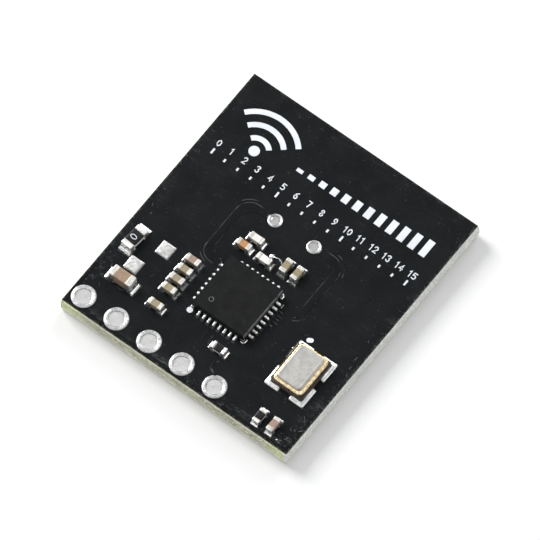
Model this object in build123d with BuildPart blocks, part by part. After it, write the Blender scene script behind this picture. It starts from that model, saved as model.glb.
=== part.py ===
from build123d import *
from collections import namedtuple
from math import atan2, cos, degrees, radians, sin
import os

# A small microwave radar sensor board, lying on its back with its parts facing up.
# Millimetres. X runs along the header edge, Y from the header edge to the far edge
# and Z up. The origin is the centre of the board on its back face.

# Board
board_width = 17.4
board_length = 19.6
board_thickness = 1.4
mask_thickness = 0.05
copper_thickness = 0.035
tin_thickness = 0.01
mask_clearance = 0.05
score_depth = 0.42
score_ledge = 0.1

# Header row of plated holes
header_count = 5
header_pitch = 2.54
header_hole = 1.0
header_ring = 1.58
header_edge_gap = 0.98
header_first_gap = 0.95
barrel_wall = 0.04

# Antenna feed-throughs
via_spacing = 3.0
via_along = 0.12653
via_hole = 0.6
via_ring = 0.94
via_tab_length = 0.1
via_tab_width = 0.3

# Feed lines under the front mask
feed_width = 0.36
feed_reach = 2.2
feed_bend = 1.25
feed_turn = 0.9
rib_height = 0.02
rib_margin = 0.06

# Copper antennas under the back mask
antenna_gap = 0.7
antenna_side_gap = 1.15
antenna_edge_gap = 0.8
antenna_via_gap = 0.62
antenna_notch = 0.35
antenna_notch_depth = 1.4
antenna_feed_width = 0.5

# Bare tinned link, placed from the middle of the chip's far side
link_start = (-0.2, 1.72)
link_middle = (0.3, 1.86)
link_end = (0.66, 1.66)
link_blob_radius = 0.16
link_blob_height = 0.06
link_blob_slope = 50
link_width = 0.1

# Solder
solder_film = 0.03
solder_margin = 0.03
solder_climb = 0.7
slope_hollow = 0.32

# Flat no-lead chip
chip_size = 4.0
chip_height = 0.75
chip_along = -0.17015
chip_edge_bevel = 0.03
lead_corner_gap = 0.6
leads_per_side = 8
lead_pitch_share = 0.5
lead_length = 0.4
lead_height = 0.2
lead_land_pitch_share = 0.55
lead_land_reach = 0.4
lead_climb = 0.1
tie_bar_width = 0.16
tie_bar_length = 0.3
paddle_gap = 0.3
dimple_radius = 0.15
dimple_depth = 0.05
dimple_inset = 0.85

# Crystal
crystal_width = 2.5
crystal_length = 3.2
crystal_across = 0.35
crystal_along = -0.24898
crystal_base_height = 0.3
crystal_notch = 0.15
crystal_pad_width = 1.0
crystal_pad_length = 1.2
crystal_pad_thickness = 0.03
crystal_land_width = 1.1
crystal_land_length = 1.5
crystal_land_reach = 0.24
crystal_climb = 0.16
ring_side_inset = 0.14
ring_end_inset = 0.08
ring_width = 0.38
ring_height = 0.27
lid_ledge = 0.17
lid_shift = (-0.04, 0.03)
lid_thickness = 0.12
lid_corner = 0.26
lid_bevel = 0.09
cavity_floor_height = 0.12
shelf_length = 0.45
shelf_height = 0.1
blank_side_gap = 0.13
blank_tip_gap = 0.43
blank_thickness = 0.08
blank_end_gap = 0.05

# Chip resistors, capacitors and inductors in two case sizes
small_length = 1.0
small_width = 0.5
small_height = 0.5
small_band = 0.26
small_land_under = 0.3
small_land_reach = 0.2
small_land_margin = 0.05
large_length = 1.6
large_width = 0.8
large_height = 0.85
large_band = 0.37
large_land_under = 0.42
large_land_reach = 0.33
large_land_margin = 0.07
small_resistor_height = 0.35
large_resistor_height = 0.45
wrap_thickness = 0.02
wrap_bevel = 0.03
resistor_band = 0.22
large_resistor_band = 0.33
glaze_thickness = 0.03
glaze_overlap_gap = 0.01

# Bare tinned pads
bare_pad_size = 1.0

# Places on the board from its centre, as shares of its width (across) and length (along)
column_across = -0.21724
column_along = -0.27194
output_along = -0.34082
supply_along = -0.33367
jumper_across = -0.43793
jumper_along = -0.19643
near_pad_along = -0.26582
far_pad_along = -0.16429
bias_along = -0.34031

# Shares of the free room between the last header ring and the side edge
pull_up_room = 0.55814
reset_room = 0.10698

# Distances between neighbouring parts
column_pitch = 0.805
column_count = 4
supply_jumper_gap = 1.16
near_pad_jumper_gap = 0.99
far_pad_near_pad_gap = 0.95
bias_offset = 1.12
edge_row_gap = 1.0

# Filter parts, placed from the middle of the chip's far side
first_inductor_place = (-1.56, 1.99)
second_inductor_place = (-0.33, 1.14)
tuning_place = (-1.93, 1.19)
filter_rise = 1.6
first_filter_offset = 1.04
filter_pitch = 0.86

# White print
print_thickness = 0.02
pin_dot_radius = 0.2
pin_dot_inset = 0.02
pin_dot_gap = 0.25
crystal_mark_x = 0.91
crystal_mark_y = 2.12
crystal_mark_turn = 30
crystal_mark_length = 0.14
crystal_mark_width = 0.32
wave_side_gap = 3.25
wave_edge_gap = 4.3
wave_dot_radius = 0.36
wave_width = 0.36
wave_step = 0.92
wave_count = 3
wave_spread = 100
bar_side_gap = 6.35
bar_edge_gap = 3.8
bar_count = 12
bar_end_gap = 1.59
bar_width = 0.46
bar_low = 0.25
bar_high = 1.25
tick_via_gap = 1.27
tick_pitch = 1.0
tick_end_gap = 1.15
tick_width = 0.13
tick_short = 0.22
tick_long = 0.4
tick_group = 5

# Heights that follow from the layers
deck = board_thickness - mask_thickness
back_deck = mask_thickness
land_thickness = copper_thickness + tin_thickness
land_top = deck + land_thickness
seat = land_top + solder_film
back_land = back_deck - land_thickness
header_edge = -board_length / 2
far_edge = board_length / 2
left_edge = -board_width / 2
right_edge = board_width / 2

# Places that follow from the edges
header_y = header_edge + header_edge_gap
header_x = [left_edge + header_first_gap + header_pitch * i for i in range(header_count)]
via_x = via_spacing / 2
via_y = board_length * via_along
chip_y = board_length * chip_along
chip_far_side = chip_y + chip_size / 2
lead_pitch = (chip_size - 2 * lead_corner_gap) / (leads_per_side - 1)
lead_width = lead_pitch * lead_pitch_share
lead_land_width = lead_pitch * lead_land_pitch_share
paddle_size = chip_size - 2 * (lead_length + paddle_gap)
crystal_x = board_width * crystal_across
crystal_y = board_length * crystal_along
antenna_width = (board_width - antenna_gap) / 2 - antenna_side_gap
antenna_length = far_edge - antenna_edge_gap - via_y - antenna_via_gap

# The two case sizes
Case = namedtuple("Case", "length width height band land_under land_reach land_margin")
small_case = Case(
    small_length, small_width, small_height, small_band, small_land_under, small_land_reach, small_land_margin
)
large_case = Case(
    large_length, large_width, large_height, large_band, large_land_under, large_land_reach, large_land_margin
)

# Every small part: its name, kind, case, height, centre and turn of its long axis
Placed = namedtuple("Placed", "name kind case height x y turn skew")


def capacitor(name, x, y, turn=0, case=small_case):
    """A ceramic block with a metal cap on each end."""
    return Placed(name, "capacitor", case, case.height, x, y, turn, 0)


def small_resistor(name, x, y, turn=0):
    """A white ceramic slab with a dark glaze between its two metal ends."""
    return Placed(name, "resistor", small_case, small_resistor_height, x, y, turn, 0)


def large_resistor(name, x, y, turn, skew):
    """The same in the larger case, soldered on a little askew."""
    return Placed(name, "resistor", large_case, large_resistor_height, x, y, turn, skew)


column_x = board_width * column_across
column_foot = board_length * column_along
placed_parts = [
    capacitor(f"decoupling_capacitor_{i + 1}", column_x, column_foot + column_pitch * (column_count - 1 - i))
    for i in range(column_count)
]

jumper_x = board_width * jumper_across
near_pad_x = jumper_x + near_pad_jumper_gap
bare_pads = [
    (near_pad_x + far_pad_near_pad_gap, board_length * far_pad_along),
    (near_pad_x, board_length * near_pad_along),
]

edge_row_y = header_edge + edge_row_gap
corner_left = header_x[-1] + header_ring / 2
small_land_width = small_width + 2 * small_land_margin
corner_room = right_edge - corner_left - 2 * small_land_width
pull_up_x = corner_left + pull_up_room * corner_room + small_land_width / 2
reset_x = pull_up_x + small_land_width + reset_room * corner_room

filter_y = chip_far_side + filter_rise
second_filter_offset = first_filter_offset + filter_pitch
placed_parts += [
    capacitor("output_capacitor", column_x, board_length * output_along),
    capacitor("supply_capacitor", jumper_x + supply_jumper_gap, board_length * supply_along, case=large_case),
    large_resistor("jumper_resistor", jumper_x, board_length * jumper_along, turn=90, skew=-5),
    small_resistor("bias_resistor", bias_offset, board_length * bias_along),
    small_resistor("pull_up_resistor", pull_up_x, edge_row_y, turn=90),
    capacitor("reset_capacitor", reset_x, edge_row_y, turn=90),
    capacitor("filter_inductor_1", first_inductor_place[0], chip_far_side + first_inductor_place[1]),
    capacitor("filter_inductor_2", second_inductor_place[0], chip_far_side + second_inductor_place[1]),
    capacitor("tuning_capacitor", tuning_place[0], chip_far_side + tuning_place[1]),
    capacitor("filter_capacitor_1", first_filter_offset, filter_y, turn=90),
    capacitor("filter_capacitor_2", second_filter_offset, filter_y, turn=90),
]
link_points = [(x, chip_far_side + y) for x, y in (link_start, link_middle, link_end)]


def save(piece, name):
    """Labels a finished piece and writes it to its own file."""
    piece.part.label = name
    export_step(piece.part, f"parts/{name}.step")


def seat_plane(part, height=seat):
    """The plane under a small part, with its X along the part's long axis."""
    angle = radians(part.turn + part.skew)
    return Plane(origin=(part.x, part.y, height), x_dir=(cos(angle), sin(angle), 0), z_dir=(0, 0, 1))


def side_plane(part, height=seat):
    """The upright plane along a small part's long axis, through its middle."""
    flat = seat_plane(part, height)
    return Plane(origin=flat.origin, x_dir=flat.x_dir, z_dir=flat.x_dir.cross(flat.z_dir))


def land_centre(case):
    """How far the middle of each land lies from the middle of the part."""
    return case.length / 2 + (case.land_reach - case.land_under) / 2


def lead_angles():
    """The four sides of the chip, as turns about its centre."""
    return [0, 90, 180, 270]


def lead_offsets():
    """Where the leads lie along one side of the chip."""
    middle = (leads_per_side - 1) / 2
    return [(i - middle) * lead_pitch for i in range(leads_per_side)]


def small_lands(grow):
    """Draws both lands of every small part, grown by a margin."""
    for part in placed_parts:
        case = part.case
        with Locations(Location((part.x, part.y, 0), part.turn)):
            with Locations((-land_centre(case), 0), (land_centre(case), 0)):
                Rectangle(
                    case.land_under + case.land_reach + 2 * grow,
                    case.width + 2 * case.land_margin + 2 * grow,
                )


def chip_lands(grow):
    """Draws the chip's paddle land and its ring of lead lands."""
    with Locations((0, chip_y)):
        Rectangle(paddle_size + 2 * grow, paddle_size + 2 * grow)
    for angle in lead_angles():
        with Locations(Location((0, chip_y, 0), angle)):
            with Locations(*[(lead_land_middle, offset) for offset in lead_offsets()]):
                Rectangle(lead_land_length + 2 * grow, lead_land_width + 2 * grow)


def crystal_lands(grow):
    """Draws the crystal's four corner lands."""
    with Locations((crystal_x, crystal_y)):
        with GridLocations(2 * crystal_land_x, 2 * crystal_land_y, 2, 2):
            Rectangle(crystal_land_width + 2 * grow, crystal_land_length + 2 * grow)


def bare_lands(grow):
    """Draws the two bare square pads."""
    with Locations(*bare_pads):
        Rectangle(bare_pad_size + 2 * grow, bare_pad_size + 2 * grow)


def ring_openings(header_radius, via_radius):
    """Draws the discs at the header holes and at the two feed-throughs."""
    with Locations(*[(x, header_y) for x in header_x]):
        Circle(header_radius)
    with Locations((-via_x, via_y), (via_x, via_y)):
        Circle(via_radius)


def link_outline(grow):
    """Draws the bare link: a round blob and a thin curved strip that leaves it."""
    with BuildLine() as strip:
        ThreePointArc(*link_points)
    trace(strip.edges(), line_width=link_width + 2 * grow)
    with Locations(link_points[0]):
        Circle(link_blob_radius + grow)


def via_tab(grow):
    """Draws the bit of bare feed line beside the left feed-through."""
    tab_length = via_ring / 2 + via_tab_length
    with Locations((-via_x - tab_length / 2 - grow / 2, via_y)):
        Rectangle(tab_length + grow, via_tab_width + 2 * grow)


lead_land_length = lead_length + lead_land_reach
lead_land_middle = chip_size / 2 + lead_land_reach - lead_land_length / 2
crystal_land_x = crystal_width / 2 + crystal_land_reach - crystal_land_width / 2
crystal_land_y = crystal_length / 2 + crystal_land_reach - crystal_land_length / 2
feed_end_y = chip_y + lead_offsets()[-1]


def feed_path(side, start):
    """The middle of a feed line, from its feed-through round to the chip's top lead."""
    reach_x = via_x + feed_reach
    lead_x = chip_size / 2 + lead_land_reach
    bend_start = (side * (reach_x - feed_bend), via_y)
    bend_end = (side * reach_x, via_y - feed_bend)
    turn_start = (side * reach_x, feed_end_y + feed_turn)
    turn_end = (side * (reach_x - feed_turn), feed_end_y)
    Line((side * start, via_y), bend_start)
    RadiusArc(bend_start, bend_end, side * feed_bend)
    Line(bend_end, turn_start)
    RadiusArc(turn_start, turn_end, side * feed_turn)
    Line(turn_end, (side * lead_x, feed_end_y))


# Board laminate: a slab whose four edges were scored from both faces and snapped
score_angle = degrees(atan2(score_ledge, score_depth))
with BuildPart() as board_laminate:
    web_low = back_deck + score_depth
    web_high = deck - score_depth
    with BuildSketch(Plane.XY.offset(web_low)):
        Rectangle(board_width + 2 * score_ledge, board_length + 2 * score_ledge)
    extrude(amount=web_high - web_low)
    extrude(board_laminate.faces().sort_by(Axis.Z)[-1], amount=score_depth, taper=score_angle)
    extrude(board_laminate.faces().sort_by(Axis.Z)[0], amount=score_depth, taper=score_angle)
    with BuildSketch(Plane.XY.offset(back_deck)):
        ring_openings(header_hole / 2 + barrel_wall, via_hole / 2 + barrel_wall)
    extrude(amount=deck - back_deck, mode=Mode.SUBTRACT)


def plated_hole(x, y, hole, ring, tab=False):
    """A plated barrel through the board with a flat ring on each face."""
    with BuildPart() as eyelet:
        with BuildSketch(Plane.XZ.offset(-y)):
            with BuildLine():
                Polyline(
                    (x + hole / 2, back_land),
                    (x + ring / 2, back_land),
                    (x + ring / 2, back_deck),
                    (x + hole / 2 + barrel_wall, back_deck),
                    (x + hole / 2 + barrel_wall, deck),
                    (x + ring / 2, deck),
                    (x + ring / 2, land_top),
                    (x + hole / 2, land_top),
                    close=True,
                )
            make_face()
        revolve(axis=Axis((x, y, 0), (0, 0, 1)))
        if tab:
            with BuildSketch(Plane.XY.offset(deck)):
                via_tab(0)
                with Locations((x, y)):
                    Circle((hole + ring) / 4, mode=Mode.SUBTRACT)
            extrude(amount=land_thickness)
    return eyelet


header_eyelets = [plated_hole(x, header_y, header_hole, header_ring) for x in header_x]
antenna_via_left = plated_hole(-via_x, via_y, via_hole, via_ring, tab=True)
antenna_via_right = plated_hole(via_x, via_y, via_hole, via_ring)


def feed_line(side, start):
    """A flat copper strip on the laminate, cut back to the ring that it joins."""
    with BuildPart() as strip:
        with BuildSketch(Plane.XY.offset(deck)):
            with BuildLine():
                feed_path(side, start)
            trace(line_width=feed_width)
            with Locations((side * via_x, via_y)):
                Circle(via_ring / 2, mode=Mode.SUBTRACT)
        extrude(amount=copper_thickness)
    return strip


left_feed_start = via_x + via_ring / 2 + via_tab_length
right_feed_start = via_x
feed_line_left = feed_line(-1, left_feed_start)
feed_line_right = feed_line(1, right_feed_start)


def antenna(side):
    """A copper patch on the back with an inset feed that runs to its feed-through."""
    patch_x = side * (antenna_gap + antenna_width) / 2
    patch_y = far_edge - antenna_edge_gap - antenna_length / 2
    patch_foot = patch_y - antenna_length / 2
    feed_x = side * via_x
    feed_top = patch_foot + antenna_notch_depth
    with BuildPart() as patch:
        with BuildSketch(Plane.XY.offset(back_deck - copper_thickness)):
            with Locations((patch_x, patch_y)):
                Rectangle(antenna_width, antenna_length)
            with Locations((feed_x, patch_foot + antenna_notch_depth / 2)):
                Rectangle(
                    antenna_feed_width + 2 * antenna_notch, antenna_notch_depth, mode=Mode.SUBTRACT
                )
            with Locations((feed_x, (feed_top + via_y) / 2)):
                Rectangle(antenna_feed_width, feed_top - via_y)
            with Locations((feed_x, via_y)):
                Circle(via_ring / 2, mode=Mode.SUBTRACT)
        extrude(amount=copper_thickness)
    return patch


transmit_antenna = antenna(-1)
receive_antenna = antenna(1)

# Copper lands with their tin, one solid for each pad
with BuildPart() as component_lands:
    with BuildSketch(Plane.XY.offset(deck)):
        small_lands(0)
        chip_lands(0)
        crystal_lands(0)
        bare_lands(0)
    extrude(amount=land_thickness)

with BuildPart() as matching_link:
    with BuildSketch(Plane.XY.offset(deck)):
        link_outline(0)
    extrude(amount=land_thickness)
    with BuildSketch(Plane.XY.offset(land_top)):
        with Locations(link_points[0]):
            Circle(link_blob_radius)
    extrude(amount=link_blob_height, taper=link_blob_slope)

# Front mask: a thin black coat, open over every pad and raised over the feed lines
with BuildPart() as solder_mask_front:
    with BuildSketch(Plane.XY.offset(deck)):
        Rectangle(board_width, board_length)
    extrude(amount=mask_thickness)
    for side, start in ((-1, left_feed_start), (1, right_feed_start)):
        with BuildSketch(Plane.XY.offset(deck)):
            with BuildLine():
                feed_path(side, start)
            trace(line_width=feed_width + 2 * rib_margin)
        extrude(amount=mask_thickness + rib_height)
    extrude(feed_line_left.faces().sort_by(Axis.Z)[0], amount=-copper_thickness, mode=Mode.SUBTRACT)
    extrude(feed_line_right.faces().sort_by(Axis.Z)[0], amount=-copper_thickness, mode=Mode.SUBTRACT)
    with BuildSketch(Plane.XY.offset(deck)):
        small_lands(mask_clearance)
        chip_lands(mask_clearance)
        crystal_lands(mask_clearance)
        bare_lands(mask_clearance)
        link_outline(mask_clearance)
        ring_openings(header_ring / 2 + mask_clearance, via_ring / 2 + mask_clearance)
        via_tab(mask_clearance)
    extrude(amount=mask_thickness + rib_height, mode=Mode.SUBTRACT)

# Back mask: the face that the board rests on
with BuildPart() as solder_mask_back:
    with BuildSketch():
        Rectangle(board_width, board_length)
    extrude(amount=mask_thickness)
    for patch in (transmit_antenna, receive_antenna):
        extrude(patch.faces().sort_by(Axis.Z)[-1], amount=-copper_thickness, mode=Mode.SUBTRACT)
    with BuildSketch():
        ring_openings(header_ring / 2 + mask_clearance, via_ring / 2 + mask_clearance)
    extrude(amount=mask_thickness, mode=Mode.SUBTRACT)

# Chip: bare metal first, because the moulding is cast round it
chip_floor = Plane(origin=(0, chip_y, seat))

# Its leads and four corner tie bars are flush with its sides and foot
with BuildPart() as chip_leads:
    with BuildSketch(chip_floor):
        for angle in lead_angles():
            with Locations(Location((0, 0, 0), angle)):
                spots = [(chip_size / 2 - lead_length / 2, offset) for offset in lead_offsets()]
                with Locations(*spots):
                    Rectangle(lead_length, lead_width)
                with Locations((chip_size / 2 - tie_bar_width / 2, chip_size / 2 - tie_bar_length / 2)):
                    Rectangle(tie_bar_width, tie_bar_length)
    extrude(amount=lead_height)

with BuildPart() as chip_thermal_pad:
    with BuildSketch(chip_floor):
        Rectangle(paddle_size, paddle_size)
        chamfer(vertices().group_by(Axis.X)[0].sort_by(Axis.Y)[0], length=lead_length)
    extrude(amount=lead_height)

with BuildPart() as chip_body:
    with BuildSketch(chip_floor):
        Rectangle(chip_size, chip_size)
    extrude(amount=chip_height)
    chamfer(chip_body.faces().sort_by(Axis.Z)[-1].edges(), length=chip_edge_bevel)
    dimple_spot = (-chip_size / 2 + dimple_inset, chip_y - chip_size / 2 + dimple_inset)
    with Locations((*dimple_spot, seat + chip_height)):
        Hole(radius=dimple_radius, depth=dimple_depth)
    add(chip_leads.part, mode=Mode.SUBTRACT)
    add(chip_thermal_pad.part, mode=Mode.SUBTRACT)


def slope_plane(centre_x, centre_y, angle, distance):
    """The upright plane of a solder slope that leaves its wall in a given direction."""
    outward = (cos(radians(angle)), sin(radians(angle)), 0)
    wall_x = centre_x + outward[0] * distance
    wall_y = centre_y + outward[1] * distance
    return Plane(origin=(wall_x, wall_y, seat), x_dir=outward, z_dir=(outward[1], -outward[0], 0))


def solder_slope(plane, foot, top, half_width):
    """A joint's hollow slope, from the top of its wall down to its foot on the film."""
    with BuildPart() as slope:
        with BuildSketch(plane):
            with BuildLine():
                hollow = (foot * slope_hollow, top * slope_hollow)
                Polyline((0, 0), (foot, 0), hollow, (0, top), close=True)
            make_face()
        extrude(amount=half_width, both=True)
    return slope.part


# Solder under and beside the chip
lead_slopes = []
for angle in lead_angles():
    for offset in lead_offsets():
        middle_x = -sin(radians(angle)) * offset
        middle_y = chip_y + cos(radians(angle)) * offset
        plane = slope_plane(middle_x, middle_y, angle, chip_size / 2)
        lead_foot = lead_land_reach - solder_margin
        lead_slopes.append(solder_slope(plane, lead_foot, lead_climb, lead_width / 2 - solder_margin))

with BuildPart() as chip_solder:
    with BuildSketch(Plane.XY.offset(land_top)):
        chip_lands(-solder_margin)
    extrude(amount=solder_film)
    add(lead_slopes)

# Crystal: ceramic base with a cavity, a gold ring, a metal lid and the quartz inside
crystal_foot = Plane(origin=(crystal_x, crystal_y, seat))
crystal_body_foot = crystal_foot.offset(crystal_pad_thickness)
crystal_rim = crystal_body_foot.offset(crystal_base_height)


def crystal_corners():
    """The notched corners of the crystal's base."""
    return GridLocations(crystal_width, crystal_length, 2, 2)


with BuildPart() as crystal_terminals:
    with BuildSketch(crystal_foot):
        with GridLocations(crystal_width - crystal_pad_width, crystal_length - crystal_pad_length, 2, 2):
            Rectangle(crystal_pad_width, crystal_pad_length)
        with crystal_corners():
            Circle(crystal_notch, mode=Mode.SUBTRACT)
    extrude(amount=crystal_pad_thickness)

ring_outer_width = crystal_width - 2 * ring_side_inset
ring_outer_length = crystal_length - 2 * ring_end_inset
cavity_width = ring_outer_width - 2 * ring_width
cavity_length = ring_outer_length - 2 * ring_width
cavity_depth = crystal_base_height - cavity_floor_height
cavity_floor = crystal_body_foot.offset(cavity_floor_height)
with BuildPart() as crystal_base:
    with BuildSketch(crystal_body_foot):
        Rectangle(crystal_width, crystal_length)
        with crystal_corners():
            Circle(crystal_notch, mode=Mode.SUBTRACT)
    extrude(amount=crystal_base_height)
    with BuildSketch(crystal_rim):
        RectangleRounded(cavity_width, cavity_length, lid_corner / 2)
    extrude(amount=-cavity_depth, mode=Mode.SUBTRACT)
    with BuildSketch(cavity_floor):
        with Locations((0, -cavity_length / 2 + shelf_length / 2)):
            Rectangle(cavity_width, shelf_length)
    extrude(amount=shelf_height)

with BuildPart() as quartz_blank:
    with BuildSketch(cavity_floor.offset(shelf_height)):
        with Locations((0, (blank_end_gap - blank_tip_gap) / 2)):
            Rectangle(cavity_width - 2 * blank_side_gap, cavity_length - blank_end_gap - blank_tip_gap)
    extrude(amount=blank_thickness)

with BuildPart() as crystal_seal_ring:
    with BuildSketch(crystal_rim):
        RectangleRounded(ring_outer_width, ring_outer_length, lid_corner)
        RectangleRounded(cavity_width, cavity_length, lid_corner / 2, mode=Mode.SUBTRACT)
    extrude(amount=ring_height)

with BuildPart() as crystal_lid:
    with BuildSketch(crystal_rim.offset(ring_height)):
        with Locations(lid_shift):
            RectangleRounded(ring_outer_width - 2 * lid_ledge, ring_outer_length - 2 * lid_ledge, lid_corner)
    extrude(amount=lid_thickness)
    chamfer(crystal_lid.faces().sort_by(Axis.Z)[-1].edges(), length=lid_bevel)

crystal_slopes = []
for side_x in (-1, 1):
    for side_y in (-1, 1):
        pad_x = crystal_x + side_x * (crystal_width - crystal_pad_width) / 2
        pad_y = crystal_y + side_y * (crystal_length - crystal_pad_length) / 2
        side_wall = slope_plane(pad_x, pad_y, 90 - 90 * side_x, crystal_pad_width / 2)
        end_wall = slope_plane(pad_x, pad_y, 90 * side_y, crystal_pad_length / 2)
        side_half = crystal_pad_length / 2 - crystal_notch
        end_half = crystal_pad_width / 2 - crystal_notch
        crystal_foot_run = crystal_land_reach - solder_margin
        crystal_slopes.append(solder_slope(side_wall, crystal_foot_run, crystal_climb, side_half))
        crystal_slopes.append(solder_slope(end_wall, crystal_foot_run, crystal_climb, end_half))

with BuildPart() as crystal_solder:
    with BuildSketch(Plane.XY.offset(land_top)):
        crystal_lands(-solder_margin)
    extrude(amount=solder_film)
    add(crystal_slopes)


def capacitor_cores(part):
    """The ceramic block of a capped part, set in a little under its metal caps."""
    case = part.case
    with BuildPart() as core:
        with BuildSketch(seat_plane(part, seat + wrap_thickness)):
            Rectangle(case.length - 2 * wrap_thickness, case.width - 2 * wrap_thickness)
        extrude(amount=part.height - 2 * wrap_thickness)
    return core


def capacitor_caps(part, core):
    """The two metal caps of a part, with bevelled ends, dipped over its ceramic."""
    case = part.case
    with BuildPart() as caps:
        with BuildSketch(seat_plane(part)):
            Rectangle(case.length, case.width)
        extrude(amount=part.height)
        end_faces = caps.faces().filter_by(Axis((0, 0, 0), seat_plane(part).x_dir))
        chamfer(end_faces.edges(), length=wrap_bevel)
        with BuildSketch(seat_plane(part)):
            Rectangle(case.length - 2 * case.band, case.width)
        extrude(amount=part.height, mode=Mode.SUBTRACT)
        add(core.part, mode=Mode.SUBTRACT)
    return caps


def resistor_core(part):
    """The white ceramic slab of a chip resistor."""
    case = part.case
    with BuildPart() as core:
        with BuildSketch(seat_plane(part, seat + wrap_thickness)):
            Rectangle(case.length - 2 * wrap_thickness, case.width)
        extrude(amount=part.height - 2 * wrap_thickness)
    return core


def resistor_ends(part, core):
    """The folded metal ends of a chip resistor: over, round and under the slab."""
    case = part.case
    band = large_resistor_band if case is large_case else resistor_band
    with BuildPart() as ends:
        with BuildSketch(side_plane(part)):
            with Locations((0, part.height / 2)):
                Rectangle(case.length, part.height)
                Rectangle(case.length - 2 * band, part.height, mode=Mode.SUBTRACT)
        extrude(amount=case.width / 2, both=True)
        add(core.part, mode=Mode.SUBTRACT)
    return ends


passive_pieces = {}
with BuildPart() as resistor_glazes:
    for part in placed_parts:
        if part.kind == "resistor":
            band = large_resistor_band if part.case is large_case else resistor_band
            glaze_length = part.case.length - 2 * band - 2 * glaze_overlap_gap
            with BuildSketch(seat_plane(part, seat + part.height - wrap_thickness)):
                Rectangle(glaze_length, part.case.width - 2 * glaze_overlap_gap)
            extrude(amount=glaze_thickness)

for part in placed_parts:
    if part.kind == "resistor":
        core = resistor_core(part)
        ends = resistor_ends(part, core)
    else:
        core = capacitor_cores(part)
        ends = capacitor_caps(part, core)
    passive_pieces[f"{part.name}_body"] = core
    passive_pieces[f"{part.name}_terminals"] = ends

# Solder under and against the ends of every small part
end_slopes = []
for part in placed_parts:
    case = part.case
    for end in (0, 180):
        plane = slope_plane(part.x, part.y, part.turn + part.skew + end, case.length / 2)
        foot = case.land_reach - 2 * solder_margin
        end_slopes.append(
            solder_slope(plane, foot, part.height * solder_climb, case.width / 2 - solder_margin)
        )

with BuildPart() as passive_solder:
    with BuildSketch(Plane.XY.offset(land_top)):
        small_lands(-solder_margin)
    extrude(amount=solder_film)
    add(end_slopes)

# White print: two marks beside parts, a wave sign, a row of rising bars and a ruler
with BuildPart() as silkscreen_marks:
    with BuildSketch(Plane.XY.offset(board_thickness)):
        with Locations((-chip_size / 2 + pin_dot_inset, chip_y - chip_size / 2 - pin_dot_gap)):
            Circle(pin_dot_radius)
        mark_spot = (crystal_x - crystal_mark_x, crystal_y + crystal_mark_y, 0)
        with Locations(Location(mark_spot, crystal_mark_turn)):
            SlotCenterToCenter(crystal_mark_length, crystal_mark_width)
        wave_x = left_edge + wave_side_gap
        wave_y = far_edge - wave_edge_gap
        with Locations((wave_x, wave_y)):
            Circle(wave_dot_radius)
        for i in range(wave_count):
            radius = wave_step * (i + 1)
            with BuildLine():
                CenterArc((wave_x, wave_y), radius, 90 - wave_spread / 2, wave_spread)
            trace(line_width=wave_width)
        bar_pitch = (board_width - bar_side_gap - bar_end_gap) / (bar_count - 1)
        for i in range(bar_count):
            height = bar_low + (bar_high - bar_low) * i / (bar_count - 1)
            bar_x = left_edge + bar_side_gap + i * bar_pitch
            with Locations((bar_x, far_edge - bar_edge_gap + height / 2)):
                Rectangle(bar_width, height)
        tick_count = int((board_width - 2 * tick_end_gap) / tick_pitch) + 1
        for i in range(tick_count):
            height = tick_short if i % tick_group else tick_long
            tick_x = (i - (tick_count - 1) / 2) * tick_pitch
            with Locations((tick_x, via_y + tick_via_gap + height / 2)):
                Rectangle(tick_width, height)
    extrude(amount=print_thickness)

os.makedirs("parts", exist_ok=True)
save(board_laminate, "board_laminate")
save(solder_mask_front, "solder_mask_front")
save(solder_mask_back, "solder_mask_back")
save(silkscreen_marks, "silkscreen_marks")
for i, eyelet in enumerate(header_eyelets):
    save(eyelet, f"header_eyelet_{i + 1}")
save(antenna_via_left, "antenna_via_left")
save(antenna_via_right, "antenna_via_right")
save(feed_line_left, "feed_line_left")
save(feed_line_right, "feed_line_right")
save(transmit_antenna, "transmit_antenna")
save(receive_antenna, "receive_antenna")
save(component_lands, "component_lands")
save(matching_link, "matching_link")
save(chip_body, "chip_body")
save(chip_leads, "chip_leads")
save(chip_thermal_pad, "chip_thermal_pad")
save(chip_solder, "chip_solder")
save(crystal_base, "crystal_base")
save(crystal_seal_ring, "crystal_seal_ring")
save(crystal_lid, "crystal_lid")
save(crystal_terminals, "crystal_terminals")
save(quartz_blank, "quartz_blank")
save(crystal_solder, "crystal_solder")
save(passive_solder, "passive_solder")
save(resistor_glazes, "resistor_glazes")
for name, piece in passive_pieces.items():
    save(piece, name)
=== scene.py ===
"""Looks of a small microwave radar board: tinned pads, soldered parts, chip, crystal and print.

Sizes are in millimetres until a mesh is made, which is in metres. X runs along the header
edge, Y from the header edge to the far edge and Z up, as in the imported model.
"""

import math

import bpy
import numpy as np
from mathutils import Matrix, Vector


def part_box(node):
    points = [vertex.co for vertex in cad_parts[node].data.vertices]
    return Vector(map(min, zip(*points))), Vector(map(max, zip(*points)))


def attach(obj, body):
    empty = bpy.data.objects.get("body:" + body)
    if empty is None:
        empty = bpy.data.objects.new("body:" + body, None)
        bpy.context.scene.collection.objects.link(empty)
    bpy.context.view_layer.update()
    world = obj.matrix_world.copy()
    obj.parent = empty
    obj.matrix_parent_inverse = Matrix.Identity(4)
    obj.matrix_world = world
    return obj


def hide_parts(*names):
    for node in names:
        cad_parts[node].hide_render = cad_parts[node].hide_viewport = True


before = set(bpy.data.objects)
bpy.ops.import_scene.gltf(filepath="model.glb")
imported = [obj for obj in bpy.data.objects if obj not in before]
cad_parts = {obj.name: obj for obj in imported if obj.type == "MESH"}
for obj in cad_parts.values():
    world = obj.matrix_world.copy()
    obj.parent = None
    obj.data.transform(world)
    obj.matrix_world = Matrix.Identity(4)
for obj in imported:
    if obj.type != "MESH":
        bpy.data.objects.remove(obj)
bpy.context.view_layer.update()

MM = 0.001
BODY = "root"

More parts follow.
